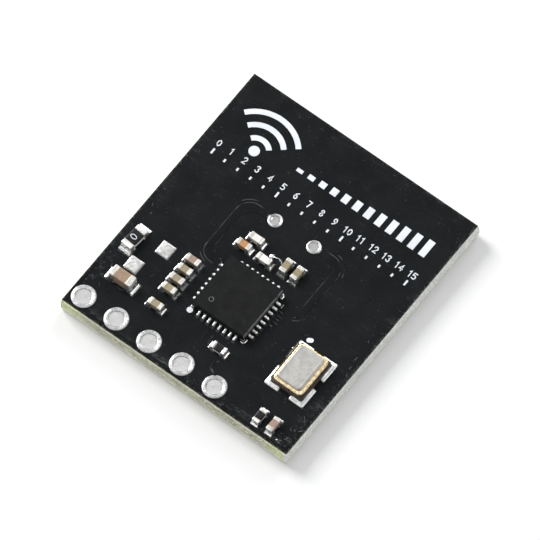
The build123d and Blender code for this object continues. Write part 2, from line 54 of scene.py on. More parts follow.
# The board's faces
BOARD_X, BOARD_Y = 17.4, 19.6
HALF_BOARD_X, HALF_BOARD_Y = BOARD_X / 2, BOARD_Y / 2

# Heights of the layers, the last being where the parts' undersides lie
BACK_LAND = 0.005
BACK_DECK = 0.05
DECK = 1.35
LAND_TOP = 1.395
MASK_TOP = 1.4
SEAT = 1.425

# Undersides that are sunk out of sight: of tin on the laminate, of relief and of scratches on the mask
SUNK = DECK - 0.01
RELIEF_BASE = MASK_TOP - 0.001
SCRATCH_BASE = MASK_TOP - 0.002

# How far the snapped web stands out, and how high each scored slope is
LEDGE = 0.1
SCORE = 0.42

# Diameters of the plated holes and their rings, and the width of a hole's rolled lip
HEADER_HOLE, HEADER_RING = 1.0, 1.58
FEED_HOLE, FEED_RING = 0.6, 0.94
LIP = 0.035
HEADER = [f"header_eyelet_{number}" for number in range(1, 6)]

# Tone and shine of the black coat
COAT_DARK, COAT_LIGHT = (0.0038, 0.0049, 0.0060), (0.0060, 0.0073, 0.0086)
COAT_SPECULAR = 0.068


# ---------------------------------------------------------------- shapes


def grid_faces(rows, columns, wrap_rows=False, wrap_columns=False):
    """Four-sided faces between neighbours of a rows by columns grid of points."""
    i = np.arange(rows if wrap_rows else rows - 1)[:, None]
    j = np.arange(columns if wrap_columns else columns - 1)[None, :]
    next_i = (i + 1) % rows
    next_j = (j + 1) % columns
    corners = (i * columns + j, i * columns + next_j, next_i * columns + next_j, next_i * columns + j)
    return np.stack(np.broadcast_arrays(*corners), -1).reshape(-1, 4)


def outline(width, length, corner, steps, side):
    """Rings of points round rectangles with round corners.

    Each corner is a quarter circle about its own centre in a number of steps, and each side
    between two corners is split evenly by a number of points. The three sizes are arrays,
    with one value for each ring."""
    width, length, corner = (np.atleast_1d(np.asarray(v, float)) for v in (width, length, corner))
    turns = np.arange(4)[:, None] * np.pi / 2 + np.linspace(0, np.pi / 2, steps + 1)[None, :]
    signs = np.array([(1, 1), (-1, 1), (-1, -1), (1, -1)], float)
    half = np.stack([width, length], -1)[:, None, :] / 2 - corner[:, None, None]
    centres = half * signs
    arcs = centres[:, :, None, :] + corner[:, None, None, None] * np.stack([np.cos(turns), np.sin(turns)], -1)
    starts = np.roll(arcs[:, :, 0], -1, axis=1)
    share = (np.arange(side) + 1) / (side + 1)
    runs = arcs[:, :, -1, None, :] + (starts - arcs[:, :, -1])[:, :, None, :] * share[:, None]
    return np.concatenate([arcs, runs], axis=2).reshape(len(width), -1, 2)


def lifted(flat, height):
    """Rings of flat points, each lifted to its own height."""
    return np.concatenate([flat, np.broadcast_to(height[:, None, None], flat.shape[:2] + (1,))], -1)


def circle(steps):
    """Points evenly round a circle of radius 1."""
    angle = np.arange(steps) * 2 * np.pi / steps
    return np.stack([np.cos(angle), np.sin(angle)], -1)


def shoulder(soft, top, steps):
    """A quarter circle of radius soft, as (inset, height) pairs that end level with the top."""
    turn = np.linspace(0, np.pi / 2, steps)
    return np.stack([soft * (1 - np.cos(turn)), top - soft + soft * np.sin(turn)], -1)


def capped(rings):
    """A closed skin over rings of points, with a fan over the first and the last ring."""
    rows, columns = rings.shape[:2]
    points = np.concatenate([rings.reshape(-1, 3), rings[:1].mean(1), rings[-1:].mean(1)])
    j = np.arange(columns)
    next_j = (j + 1) % columns
    last = (rows - 1) * columns
    low_fan = np.stack([np.full(columns, rows * columns), next_j, j], -1)
    high_fan = np.stack([np.full(columns, rows * columns + 1), last + j, last + next_j], -1)
    return points, [grid_faces(rows, columns, wrap_columns=True), low_fan, high_fan]


def looped(rings):
    """A closed tube skin: rings of points whose last ring joins the first."""
    rows, columns = rings.shape[:2]
    return rings.reshape(-1, 3), [grid_faces(rows, columns, True, True)]


def lofted(profile, width, length, corner, steps, side, closed=False):
    """A rounded rectangle carried along a profile of (inset, height) pairs.

    Ring j is the outline drawn in by inset j and lifted to height j. Corners shrink
    with the inset, down to a hundredth of a millimetre. The skin is capped, or looped
    where the profile comes back."""
    inset, height = np.asarray(profile, float).T
    wide, long = width - 2 * inset, length - 2 * inset
    small = np.minimum(wide, long)
    turn = np.clip(corner - inset, 0.01, 0.5 * small)
    flat = outline(wide, long, turn, steps, side)
    rings = lifted(flat, height)
    return looped(rings) if closed else capped(rings)


def turned(profile):
    """A closed profile of (radius, height) pairs carried once round the Z axis."""
    radius, height = np.asarray(profile, float).T
    steps = 72
    angle = np.arange(steps) * 2 * np.pi / steps
    rings = np.stack(
        [
            radius[:, None] * np.cos(angle),
            radius[:, None] * np.sin(angle),
            np.broadcast_to(height[:, None], (len(radius), steps)),
        ],
        -1,
    )
    return looped(rings)


def backed(top, floor):
    """A closed skin: a grid of points on top, the same grid flat at floor height, and a wall round both."""
    rows, columns = top.shape[:2]
    count = rows * columns
    under = top.copy()
    under[..., 2] = floor
    points = np.concatenate([top.reshape(-1, 3), under.reshape(-1, 3)])
    faces = grid_faces(rows, columns)
    index = np.arange(count).reshape(rows, columns)
    rim = np.concatenate([index[0, :], index[1:, -1], index[-1, -2::-1], index[-2:0:-1, 0]])
    after = np.roll(rim, -1)
    wall = np.stack([rim, rim + count, after + count, after], -1)
    return points, [faces, faces[:, ::-1] + count, wall]


def edge_distance(x, y, half_x, half_y, corner):
    """How far inside a rounded rectangle each point lies, from its nearest edge."""
    from_x = np.abs(x) - (half_x - corner)
    from_y = np.abs(y) - (half_y - corner)
    outside = np.hypot(np.maximum(from_x, 0), np.maximum(from_y, 0))
    return corner - outside - np.minimum(np.maximum(from_x, from_y), 0)


def pad_grid(half_x, half_y, corner, rows, columns):
    """An even grid over a rectangle, and how far each point lies inside the rectangle's rounded edge.

    Points outside the round corners are drawn in to the arc."""
    along = np.linspace(-half_x, half_x, rows)
    across = np.linspace(-half_y, half_y, columns)
    x, y = np.meshgrid(along, across, indexing="ij")
    past_x = np.abs(x) - (half_x - corner)
    past_y = np.abs(y) - (half_y - corner)
    reach = np.hypot(past_x, past_y)
    out = (past_x > 0) & (past_y > 0) & (reach > corner)
    pull = np.where(out, corner / np.maximum(reach, 1e-9), 1)
    x = np.where(out, np.sign(x) * (half_x - corner + past_x * pull), x)
    y = np.where(out, np.sign(y) * (half_y - corner + past_y * pull), y)
    return x, y, edge_distance(x, y, half_x, half_y, corner)


def swell(inside, length):
    """Rises steeply from 0 at an edge towards 1: 1 - e ^ (-distance inside the edge / length)."""
    return 1 - np.exp(-np.maximum(inside, 0) / length)


def cushion(x, y, height):
    """A closed cushion on the laminate, height being its thickness at each point of its grid."""
    return backed(np.stack([x, y, DECK + height], -1), SUNK)


def ripple(points, wavelength, seed):
    """A smooth uneven value, mostly between -1 and 1: the sum of sine waves in random directions."""
    waves = 7
    draw = np.random.default_rng(seed)
    ways = draw.normal(size=(waves, 3))
    ways /= np.linalg.norm(ways, axis=1)[:, None]
    lengths = wavelength * draw.uniform(0.6, 1.5, waves)
    phases = draw.uniform(0, 2 * np.pi, waves)
    return np.sin(points @ (ways / lengths[:, None]).T * 2 * np.pi + phases).sum(-1) / math.sqrt(waves)


def flat_ripple(x, y, wavelength, seed):
    """The ripple over a grid, read at height 0."""
    return ripple(np.stack([x, y, np.zeros_like(x)], -1), wavelength, seed)


def laid(shape):
    """Lays a shape down, so that its height axis runs along X."""
    points, faces = shape
    return points[:, [2, 0, 1]], faces


def placed(shape, spot, turn=0.0):
    """Turns a shape about Z by a number of degrees and moves it to its spot."""
    points, faces = shape
    angle = math.radians(turn)
    c, s = math.cos(angle), math.sin(angle)
    x, y, z = points.T
    lift = spot[2] if len(spot) > 2 else 0
    return np.stack([x * c - y * s + spot[0], x * s + y * c + spot[1], z + lift], -1), faces


def roughened(shape, amount, wavelength, seed):
    """Moves each point of a shape along X, Y and Z by three separate ripples."""
    points, faces = shape
    shift = np.stack([ripple(points, wavelength, seed + k) for k in range(3)], -1)
    return points + amount * shift, faces


def smoothed(value):
    """Rises from 0 to 1 as value does, level at both ends."""
    t = np.clip(value, 0, 1)
    return t * t * (3 - 2 * t)


def rounded_path(corners, radius, steps):
    """Points along straight runs joined by circular arcs of one radius, or one radius for each corner."""
    corners = np.asarray(corners, float)
    radii = np.broadcast_to(np.asarray(radius, float), (len(corners) - 2,))
    pieces = [corners[:1]]
    for before, corner, after, wanted in zip(corners[:-2], corners[1:-1], corners[2:], radii):
        back, ahead = before - corner, after - corner
        near, far = np.linalg.norm(back), np.linalg.norm(ahead)
        back, ahead = back / near, ahead / far
        half = math.acos(float(np.clip(back @ ahead, -1, 1))) / 2
        reach = min(wanted / math.tan(half), near * 0.49, far * 0.49)
        arc = reach * math.tan(half)
        inward = (back + ahead) / np.linalg.norm(back + ahead)
        centre = corner + inward * arc / math.sin(half)
        share = np.linspace(-1, 1, steps + 1)[:, None] * (math.pi / 2 - half)
        side = (ahead - back) / np.linalg.norm(ahead - back)
        pieces.append(centre + arc * (side * np.sin(share) - inward * np.cos(share)))
    pieces.append(corners[-1:])
    return np.concatenate(pieces)


def path_frame(path):
    """The unit direction and the leftward normal at each point of a flat path, from its neighbours."""
    step = np.gradient(path, axis=0)
    ahead = step / np.maximum(np.linalg.norm(step, axis=1), 1e-9)[:, None]
    return ahead, np.stack([-ahead[:, 1], ahead[:, 0]], -1)


def ridge(path, width, height, base, slope, across):
    """A low raised strip along a path: level in the middle, with sides and ends that fall as a smooth step.

    Across is the number of points from side to side."""
    left = path_frame(path)[1]
    offset = np.linspace(-0.5, 0.5, across)
    rise = smoothed((0.5 - np.abs(offset)) * width / slope)
    spots = path[:, None, :] + left[:, None, :] * (offset * width)[None, :, None]
    length = np.concatenate([[0], np.cumsum(np.linalg.norm(np.diff(path, axis=0), axis=1))])
    ends = smoothed(np.minimum(length, length[-1] - length) / slope)
    top = base + height * rise[None, :] * ends[:, None]
    return backed(np.concatenate([spots, top[..., None]], -1), base - 0.01)


def ribbon(path, width, low, high, closed=False):
    """A flat printed stroke of even width along a path, with mitred corners."""
    path = np.asarray(path, float)
    if closed:
        before, after = np.roll(path, 1, axis=0), np.roll(path, -1, axis=0)
    else:
        before = np.concatenate([2 * path[:1] - path[1:2], path[:-1]])
        after = np.concatenate([path[1:], 2 * path[-1:] - path[-2:-1]])
    way_in = path - before
    way_out = after - path
    way_in = way_in / np.linalg.norm(way_in, axis=1)[:, None]
    way_out = way_out / np.linalg.norm(way_out, axis=1)[:, None]
    mean = way_in + way_out
    mean = mean / np.maximum(np.linalg.norm(mean, axis=1), 1e-6)[:, None]
    normal = np.stack([-mean[:, 1], mean[:, 0]], -1)
    straight = np.stack([-way_in[:, 1], way_in[:, 0]], -1)
    mitre = 1 / np.maximum((normal * straight).sum(1), 0.5)
    shift = normal * (mitre * width / 2)[:, None]
    if not closed:
        path = path.copy()
        path[0] -= way_out[0] * width / 2
        path[-1] += way_in[-1] * width / 2
    corner = [(path + shift, low), (path - shift, low), (path - shift, high), (path + shift, high)]
    rings = np.stack([np.concatenate([p, np.full((len(p), 1), z)], -1) for p, z in corner], 1)
    return looped(rings) if closed else capped(rings)


def outward(points, faces):
    """The faces in the order that makes the closed shape's volume positive."""
    volume = 0.0
    for group in faces:
        first = points[group[:, 0]]
        for k in range(1, group.shape[1] - 1):
            cross = np.cross(points[group[:, k]], points[group[:, k + 1]])
            volume += (first * cross).sum()
    return faces if volume > 0 else [group[:, ::-1] for group in faces]


def piece(name, shapes, finish, nodes=(), crease=40, tarnish_and_painted_light=None):
    """Joins closed shapes into one mesh object that rides on the board and stands for its nodes.

    Edges sharper than crease, in degrees, stay sharp. The last argument, if given, is a value at every point
    from -1, freshly tinned or painted brighter as painted light, to 1, dull, and is kept as the mesh's
    attribute."""
    points, faces, count = [], [], 0
    for spots, groups in shapes:
        spots = spots * MM
        for group in outward(spots, groups):
            faces += (group + count).tolist()
        points.append(spots)
        count += len(spots)
    mesh = bpy.data.meshes.new(name)
    mesh.from_pydata(np.concatenate(points), [], faces)
    mesh.shade_smooth()
    mesh.set_sharp_from_angle(angle=math.radians(crease))
    mesh.materials.append(finish)
    if tarnish_and_painted_light is not None:
        mesh.attributes.new("tarnish_and_painted_light", "FLOAT", "POINT").data.foreach_set("value", tarnish_and_painted_light)
    made = bpy.data.objects.new(name, mesh)
    bpy.context.scene.collection.objects.link(made)
    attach(made, BODY)
    if nodes:
        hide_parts(*nodes)
    return made


def middle(node):
    """The centre of a CAD node in millimetres, across the board."""
    low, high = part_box(node)
    return (low.x + high.x) / 2 / MM, (low.y + high.y) / 2 / MM


# ---------------------------------------------------------------- finishes


class Finish:
    """A material whose nodes are added one by one. Inputs are constants or other nodes' sockets."""

    def __init__(self, name):
        self.material = bpy.data.materials.new(name)
        self.material.use_nodes = True
        self.tree = self.material.node_tree
        self.shader = self.tree.nodes["Principled BSDF"]
        spot = self.add("ShaderNodeTexCoord").outputs["Object"]
        scaled = self.add("ShaderNodeVectorMath", {"Vector": spot, "Scale": 1 / MM}, operation="SCALE")
        self.spot = scaled.outputs[0]

    def add(self, kind, inputs=None, group=None, **settings):
        node = self.tree.nodes.new(kind)
        if group:
            node.node_tree = group
        for key, value in settings.items():
            setattr(node, key, value)
        for key, value in (inputs or {}).items():
            self.feed(node.inputs[key], value)
        return node

    def feed(self, socket, value):
        if isinstance(value, bpy.types.NodeSocket):
            self.tree.links.new(value, socket)
        elif isinstance(value, tuple) and len(value) == 3 and socket.type == "RGBA":
            socket.default_value = (*value, 1)
        else:
            socket.default_value = value

    def math(self, operation, a, b=0.0, clamp=False):
        return self.add("ShaderNodeMath", {0: a, 1: b}, operation=operation, use_clamp=clamp).outputs[0]

    def times(self, a, b, clamp=False):
        """The product of two values."""
        return self.math("MULTIPLY", a, b, clamp)

    def plus(self, a, b, clamp=False):
        """The sum of two values."""
        return self.math("ADD", a, b, clamp)

    def span(self, value, low, high, to_low=0.0, to_high=1.0):
        """A smooth step from to_low, where the value is low, to to_high, where it is high."""
        keys = {"Value": value, "From Min": low, "From Max": high, "To Min": to_low, "To Max": to_high}
        return self.add("ShaderNodeMapRange", keys, interpolation_type="SMOOTHSTEP").outputs[0]

    def mix(self, share, a, b):
        """Colour a where the share is 0 and colour b where it is 1."""
        node = self.add("ShaderNodeMix", data_type="RGBA")
        for socket, value in zip((node.inputs[0], node.inputs[6], node.inputs[7]), (share, a, b)):
            self.feed(socket, value)
        return node.outputs[2]

    def between(self, value, start, full, fade, end):
        """Rises from 0 to 1 between start and full, and falls back to 0 between fade and end."""
        return self.times(self.span(value, start, full), self.span(value, fade, end, 1.0, 0.0))

    def off_centre(self, index, low, high, to_low=0.0, to_high=1.0):
        """A smooth step over the distance from the board's middle, along X or Y."""
        return self.span(self.math("ABSOLUTE", self.axis(index)), low, high, to_low, to_high)

    def over(self, base, share, strength, colour):
        """The base with a colour laid over it, as far as its share times its strength."""
        return self.mix(self.times(share, strength), base, colour)

    def noise(self, scale, detail=3.0, rough=0.55, spot=None, warp=0.0):
        keys = {"Vector": spot or self.spot, "Scale": scale, "Detail": detail}
        keys.update({"Roughness": rough, "Distortion": warp})
        return self.add("ShaderNodeTexNoise", keys).outputs["Fac"]

    def stretch(self, scale):
        """The place on the object, scaled by its own factor along each axis."""
        return self.add("ShaderNodeMapping", {"Vector": self.spot, "Scale": scale}).outputs[0]

    def axis(self, index):
        """The place along X, Y or Z in millimetres."""
        return self.add("ShaderNodeSeparateXYZ", {0: self.spot}).outputs[index]

    def bump(self, height, strength, depth):
        """Feeds a relief of a depth in millimetres to the shader's normal."""
        node = self.add("ShaderNodeBump", {"Height": height, "Strength": strength, "Distance": depth * MM})
        self.feed(self.shader.inputs["Normal"], node.outputs[0])

    def set(self, **values):
        for key, value in values.items():
            self.feed(self.shader.inputs[key.replace("_", " ")], value)
        return self


def effect(name, inputs, outputs):
    """An empty shared effect group with named sockets, and a Finish-like builder inside it."""
    tree = bpy.data.node_groups.new(name, "ShaderNodeTree")
    for label, kind, value in inputs:
        socket = tree.interface.new_socket(label, in_out="INPUT", socket_type=kind)
        if value is not None:
            socket.default_value = value
    for label, kind in outputs:
        tree.interface.new_socket(label, in_out="OUTPUT", socket_type=kind)
    build = Finish.__new__(Finish)
    build.tree = tree
    return build, tree.nodes.new("NodeGroupInput").outputs, tree.nodes.new("NodeGroupOutput").inputs


def uneven_group():
    """Wide cloudy patches and a fine grain, each from 0 to 1."""
    build, given, result = effect(
        "uneven_surface",
        [
            ("Spot", "NodeSocketVector", None),
            ("Patch scale", "NodeSocketFloat", 1.0),
            ("Grain scale", "NodeSocketFloat", 20.0),
        ],
        [("Patches", "NodeSocketFloat"), ("Grain", "NodeSocketFloat")],
    )
    for label, scale, detail in (("Patches", "Patch scale", 3.0), ("Grain", "Grain scale", 4.0)):
        noise = build.noise(given[scale], detail, 0.6, given["Spot"], 0.3)
        build.feed(result[label], build.span(noise, 0.3, 0.7))
    return build.tree


def scratch_group():
    """Thin straight hairlines in two directions, broken up by patches."""
    build, given, result = effect(
        "hairlines",
        [
            ("Spot", "NodeSocketVector", None),
            ("Spacing", "NodeSocketFloat", 1.0),
            ("Share", "NodeSocketFloat", 0.5),
        ],
        [("Lines", "NodeSocketFloat")],
    )
    total = None
    for turn, seed in ((0.6, 3.0), (-0.9, 11.0)):
        keys = {"Vector": given["Spot"], "Scale": (0.35, 9.0, 1.0)}
        keys.update({"Rotation": (0, 0, turn), "Location": (seed, seed, 0)})
        long = build.add("ShaderNodeMapping", keys).outputs[0]
        noise = build.noise(given["Spacing"], 2.0, 0.5, long)
        near = build.math("ABSOLUTE", build.math("SUBTRACT", noise, 0.5))
        line = build.span(near, 0.0, 0.012, 1.0, 0.0)
        total = line if total is None else build.math("MAXIMUM", total, line)
    patch = build.noise(0.9, 2.0, 0.5, given["Spot"])
    gate = build.span(build.plus(patch, given["Share"]), 0.95, 1.1)
    build.feed(result["Lines"], build.times(total, gate))
    return build.tree


UNEVEN = uneven_group()
HAIRLINES = scratch_group()


def uneven(finish, patch, grain):
    """The patches and the grain of the shared uneven effect."""
    keys = {"Spot": finish.spot, "Patch scale": patch, "Grain scale": grain}
    return finish.add("ShaderNodeGroup", keys, group=UNEVEN).outputs


def hairlines(finish, spacing, share):
    """The lines of the shared hairline effect."""
    keys = {"Spot": finish.spot, "Spacing": spacing, "Share": share}
    return finish.add("ShaderNodeGroup", keys, group=HAIRLINES).outputs[0]


def black_mask(name, copper_shows):
    """Satin black coat: faint orange peel, dust and hairlines that gather near the board's edges.

    On the back it shows the copper under it a little, and its outer sides are painted pale, as painted light
    that hides the shade under the board's overhanging edge."""
    f = Finish(name)
    patches, grain = uneven(f, 0.45, 14.0)
    near_x = f.off_centre(0, HALF_BOARD_X - 1.4, HALF_BOARD_X)
    near_y = f.off_centre(1, HALF_BOARD_Y - 1.4, HALF_BOARD_Y)
    border = f.math("MAXIMUM", near_x, near_y)
    header_side = f.span(f.axis(1), -7.0, -3.0, 1.0, 0.35)
    border = f.times(border, header_side)
    lines = f.times(hairlines(f, 0.8, 0.46), f.span(border, 0.0, 0.8, 0.10, 0.8))
    rim_x = f.off_centre(0, HALF_BOARD_X - 0.20, HALF_BOARD_X)
    rim_y = f.off_centre(1, HALF_BOARD_Y - 0.20, HALF_BOARD_Y, 0.0, 0.7)
    rim = f.math("MAXIMUM", rim_x, rim_y)
    ragged = f.plus(f.noise(9.0, 5.0, 0.75), f.times(rim, 0.14))
    chips = f.times(f.span(rim, 0.0, 0.15), f.span(ragged, 0.62, 0.70))
    scuffed = f.times(f.span(border, 0.2, 0.8), f.span(f.noise(2.2, 6.0, 0.75), 0.50, 0.62))
    flecks = f.times(f.span(border, 0.1, 0.7, 0.25, 1.0), f.span(f.noise(6.0, 4.0, 0.65), 0.655, 0.70))
    # painted shade: a thin strip just inside the board's edges, standing in for the shade on the coat's
    # bevelled edge
    painted_edge_shade = f.span(border, 0.86, 0.93)
    base = f.mix(patches, COAT_DARK, COAT_LIGHT)
    base = f.over(base, grain, 0.3, (0.010, 0.011, 0.0115))
    if copper_shows:
        base = f.mix(copper_tint(f), base, (0.021, 0.0225, 0.023))
        side_x = f.off_centre(0, HALF_BOARD_X - 0.012, HALF_BOARD_X - 0.006)
        side_y = f.off_centre(1, HALF_BOARD_Y - 0.012, HALF_BOARD_Y - 0.006)
        painted_light_sides = f.math("MAXIMUM", side_x, side_y)
    base = f.over(base, lines, 0.6, (0.16, 0.17, 0.175))
    base = f.over(base, scuffed, 0.45, (0.05, 0.053, 0.055))
    # the painted shade along the board's edges
    base = f.over(base, painted_edge_shade, 0.8, (0.0025, 0.003, 0.003))
    base = f.over(base, flecks, 0.7, (0.20, 0.21, 0.22))
    base = f.over(base, chips, 0.6, (0.15, 0.15, 0.14))
    if copper_shows:
        # painted light: the back coat's outer sides are painted pale so that the shade under the board's edge
        # does not show as a dark line
        base = f.over(base, painted_light_sides, 0.95, (0.66, 0.67, 0.52))
    rough = f.plus(f.span(patches, 0.0, 1.0, 0.36, 0.44), f.times(lines, 0.12))
    f.bump(f.plus(grain, f.times(patches, 0.6)), 0.25, 0.006)
    f.shader.inputs["Specular IOR Level"].default_value = COAT_SPECULAR
    return f.set(Base_Color=base, Roughness=rough).material


def relief_finish():
    """The same black coat over traces: its shoulders are painted a little lighter in broken lines and specks,
    partly as rubbing and partly as painted highlight where light would catch the raised traces.
    """
    f = Finish("mask_relief")
    patches, grain = uneven(f, 0.45, 14.0)
    height = f.axis(2)
    lit_and_rubbed = f.between(height, MASK_TOP + 0.002, MASK_TOP + 0.008, MASK_TOP + 0.014, MASK_TOP + 0.021)
    broken = f.span(f.noise(1.3, 4.0, 0.6), 0.44, 0.60)
    specks = f.span(f.noise(9.0, 3.0, 0.6), 0.62, 0.70)
    base = f.mix(patches, COAT_DARK, COAT_LIGHT)
    # painted highlight and rubbing: lighter broken lines and specks on the shoulders of the raised traces
    base = f.mix(f.times(lit_and_rubbed, f.times(broken, 0.7)), base, (0.10, 0.105, 0.11))
    base = f.mix(f.times(lit_and_rubbed, f.times(specks, 0.8)), base, (0.16, 0.17, 0.18))
    f.bump(grain, 0.25, 0.006)
    f.shader.inputs["Specular IOR Level"].default_value = COAT_SPECULAR
    return f.set(Base_Color=base, Roughness=f.span(patches, 0.0, 1.0, 0.36, 0.44)).material


def scratch_finish():
    """Scratched coat: pale grey resin dust in a broken line."""
    f = Finish("scratched_coat")
    patches, grain = uneven(f, 2.5, 12.0)
    base = f.mix(f.times(patches, grain), (0.03, 0.032, 0.033), (0.34, 0.35, 0.35))
    f.bump(grain, 0.3, 0.004)
    f.shader.inputs["Specular IOR Level"].default_value = 0.1
    return f.set(Base_Color=base, Roughness=f.span(grain, 0.0, 1.0, 0.6, 0.8)).material


def copper_tint(f):
    """A mask that is 1 where the two back antennas lie under the coat, read from their places."""
    x, y = f.math("ABSOLUTE", f.axis(0)), f.axis(1)
    low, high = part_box("receive_antenna")
    inner, outer, top = low.x / MM, high.x / MM, high.y / MM
    foot = top - 5.9
    soft = 0.05
    inside = f.between(x, inner - soft, inner, outer, outer + soft)
    inside = f.times(inside, f.span(y, foot - soft, foot))
    return f.times(inside, f.span(y, top, top + soft, 1.0, 0.0))


def laminate_finish():
    """Snapped glass laminate: pale yellow-green resin, woven layers as thin bands and torn white fibres.

    It has dark pits, pale flecks and a dark broken seam. The lower part of the edge is painted nearly white,
    as painted light that hides the shade where the board meets the floor. The side to the right is painted
    whiter, as painted light that passes through the translucent laminate, and the faces inside the rim are
    black, as under the coat, which is partly painted shade in the narrow gaps round the pads."""
    f = Finish("glass_laminate")
    height = f.axis(2)
    web = f.between(height, 0.42, 0.5, 0.9, 0.98)
    wave = f.math("SINE", f.times(f.plus(height, f.times(f.noise(1.2), 0.12)), 58.0))
    layers = f.span(wave, -0.4, 0.9)
    torn = f.span(f.noise(1.0, 5.0, 0.65, f.stretch((5.0, 5.0, 16.0))), 0.45, 0.62)
    tufts = f.span(f.noise(2.6, 4.0, 0.6), 0.55, 0.7)
    patches, grain = uneven(f, 0.7, 16.0)
    base = f.mix(patches, (0.33, 0.33, 0.22), (0.52, 0.52, 0.37))
    ends = f.off_centre(0, HALF_BOARD_X - 2.2, HALF_BOARD_X - 0.3)
    base = f.over(base, ends, 0.85, (0.66, 0.76, 0.27))
    base = f.over(base, layers, 0.4, (0.62, 0.63, 0.47))
    drawn_out = f.noise(1.0, 5.0, 0.7, f.stretch((1.1, 1.1, 14.0)))
    streaks = f.span(f.plus(f.span(drawn_out, 0.46, 0.62), 0.35), 0.0, 1.0)
    seam = f.between(height, 0.88, 0.93, 1.03, 1.10)
    base = f.mix(f.times(seam, f.times(streaks, 0.9)), base, (0.16, 0.14, 0.09))
    base = f.over(base, f.span(height, 1.14, 1.24), 0.35, (0.86, 0.86, 0.72))
    base = f.over(base, torn, 0.35, (0.82, 0.83, 0.70))
    base = f.over(base, tufts, web, (0.86, 0.86, 0.76))
    pitted = f.span(f.noise(4.5, 6.0, 0.8, f.stretch((1.0, 1.0, 2.2))), 0.53, 0.61)
    white_flecks = f.span(f.noise(5.5, 5.0, 0.75), 0.56, 0.63)
    base = f.over(base, pitted, 0.8, (0.20, 0.19, 0.11))
    base = f.over(base, white_flecks, 0.8, (0.93, 0.93, 0.88))
    # painted light: the lower part of the edge is painted nearly white, hiding the shade where the board
    # meets the floor
    base = f.mix(f.span(height, 0.30, 0.50, 0.6, 0.0), base, (0.93, 0.93, 0.84))
    # painted light: the side to the right is painted whiter, standing in for light that passes through the
    # translucent laminate and comes in from the right
    lit_side = f.span(f.axis(0), HALF_BOARD_X - 0.3, HALF_BOARD_X - 0.1)
    pale = f.mix(torn, (0.60, 0.61, 0.60), (0.88, 0.89, 0.88))
    pale = f.over(pale, pitted, 0.7, (0.40, 0.41, 0.40))
    base = f.over(base, lit_side, 0.9, pale)
    # painted shade and dark laminate: faces inside the rim are painted near black, partly as the laminate
    # looks over the black back coat and partly as shade in the narrow gaps round the pads
    inside_x = f.off_centre(0, HALF_BOARD_X - 0.06, HALF_BOARD_X - 0.01, 1.0, 0.0)
    inside_y = f.off_centre(1, HALF_BOARD_Y - 0.06, HALF_BOARD_Y - 0.01, 1.0, 0.0)
    base = f.over(base, inside_x, inside_y, (0.009, 0.010, 0.010))
    f.bump(f.plus(torn, grain), 0.5, 0.02)
    return f.set(Base_Color=base, Roughness=f.span(torn, 0.0, 1.0, 0.5, 0.8)).material


def metal_finish(name, dark, light, rough_low, rough_high, grain_scale, bump, marks=0.0, dulls_and_lights=False):
    """Plated or soldered metal: cloudy tone and gloss, a fine frosted grain and faint hairlines.

    Where it reads the mesh's own attribute, that value darkens it where dull and brightens it where newly
    tinned, and where light is painted on end faces in shade."""
    f = Finish(name)
    patches, grain = uneven(f, 3.0, grain_scale)
    tone = f.plus(f.times(patches, 0.6), f.times(grain, 0.4), clamp=True)
    base = f.mix(tone, dark, light)
    rough = f.span(f.times(f.plus(patches, grain), 0.5), 0.1, 0.9, rough_low, rough_high)
    if dulls_and_lights:
        tarnish_and_painted_light = f.add("ShaderNodeAttribute", attribute_name="tarnish_and_painted_light").outputs["Fac"]
        dull = f.plus(tarnish_and_painted_light, 0.0, clamp=True)
        fresh_and_painted_light = f.times(tarnish_and_painted_light, -1.0, clamp=True)
        base = f.mix(dull, base, tuple(v * 0.42 for v in dark))
        # brightened near white both for newly tinned metal and as painted light on end faces that lie in
        # shade
        base = f.mix(fresh_and_painted_light, base, (0.95, 0.95, 0.945))
        rough = f.plus(rough, f.times(dull, 0.15))
        rough = f.math("SUBTRACT", rough, f.times(fresh_and_painted_light, 0.08))
    if marks:
        lines = f.times(hairlines(f, 3.0, 0.5), marks)
        rough = f.plus(rough, f.times(lines, 0.2))
        base = f.over(base, lines, 0.4, tuple(v * 0.55 for v in dark))
    f.bump(f.plus(grain, f.times(patches, 2.0)), bump, 0.008)
    f.shader.inputs["Metallic"].default_value = 1.0
    return f.set(Base_Color=base, Roughness=rough).material


def ceramic_finish(name, dark, light, grain_scale=30.0):
    """Fired ceramic: speckled body, a little darker in patches, with a dull skin."""
    f = Finish(name)
    patches, grain = uneven(f, 2.2, grain_scale)
    tone = f.plus(f.times(patches, 0.55), f.times(grain, 0.45), clamp=True)
    pores = f.span(f.noise(grain_scale * 1.7, 2.0), 0.66, 0.74)
    base = f.mix(tone, dark, light)
    base = f.over(base, pores, 0.6, tuple(v * 0.5 for v in dark))
    f.bump(f.math("SUBTRACT", grain, pores), 0.35, 0.008)
    f.shader.inputs["Specular IOR Level"].default_value = 0.4
    return f.set(Base_Color=base, Roughness=f.span(patches, 0.0, 1.0, 0.5, 0.68)).material


def print_finish():
    """White screen print: nearly even, slightly thin in specks where the black shows through."""
    f = Finish("white_print")
    patches, grain = uneven(f, 1.2, 22.0)
    thin = f.span(f.noise(12.0, 5.0, 0.7), 0.62, 0.72)
    base = f.mix(patches, (0.60, 0.625, 0.67), (0.69, 0.71, 0.75))
    base = f.over(base, thin, 0.5, (0.25, 0.26, 0.28))
    f.bump(grain, 0.3, 0.005)
    return f.set(Base_Color=base, Roughness=f.span(grain, 0.0, 1.0, 0.5, 0.65)).material


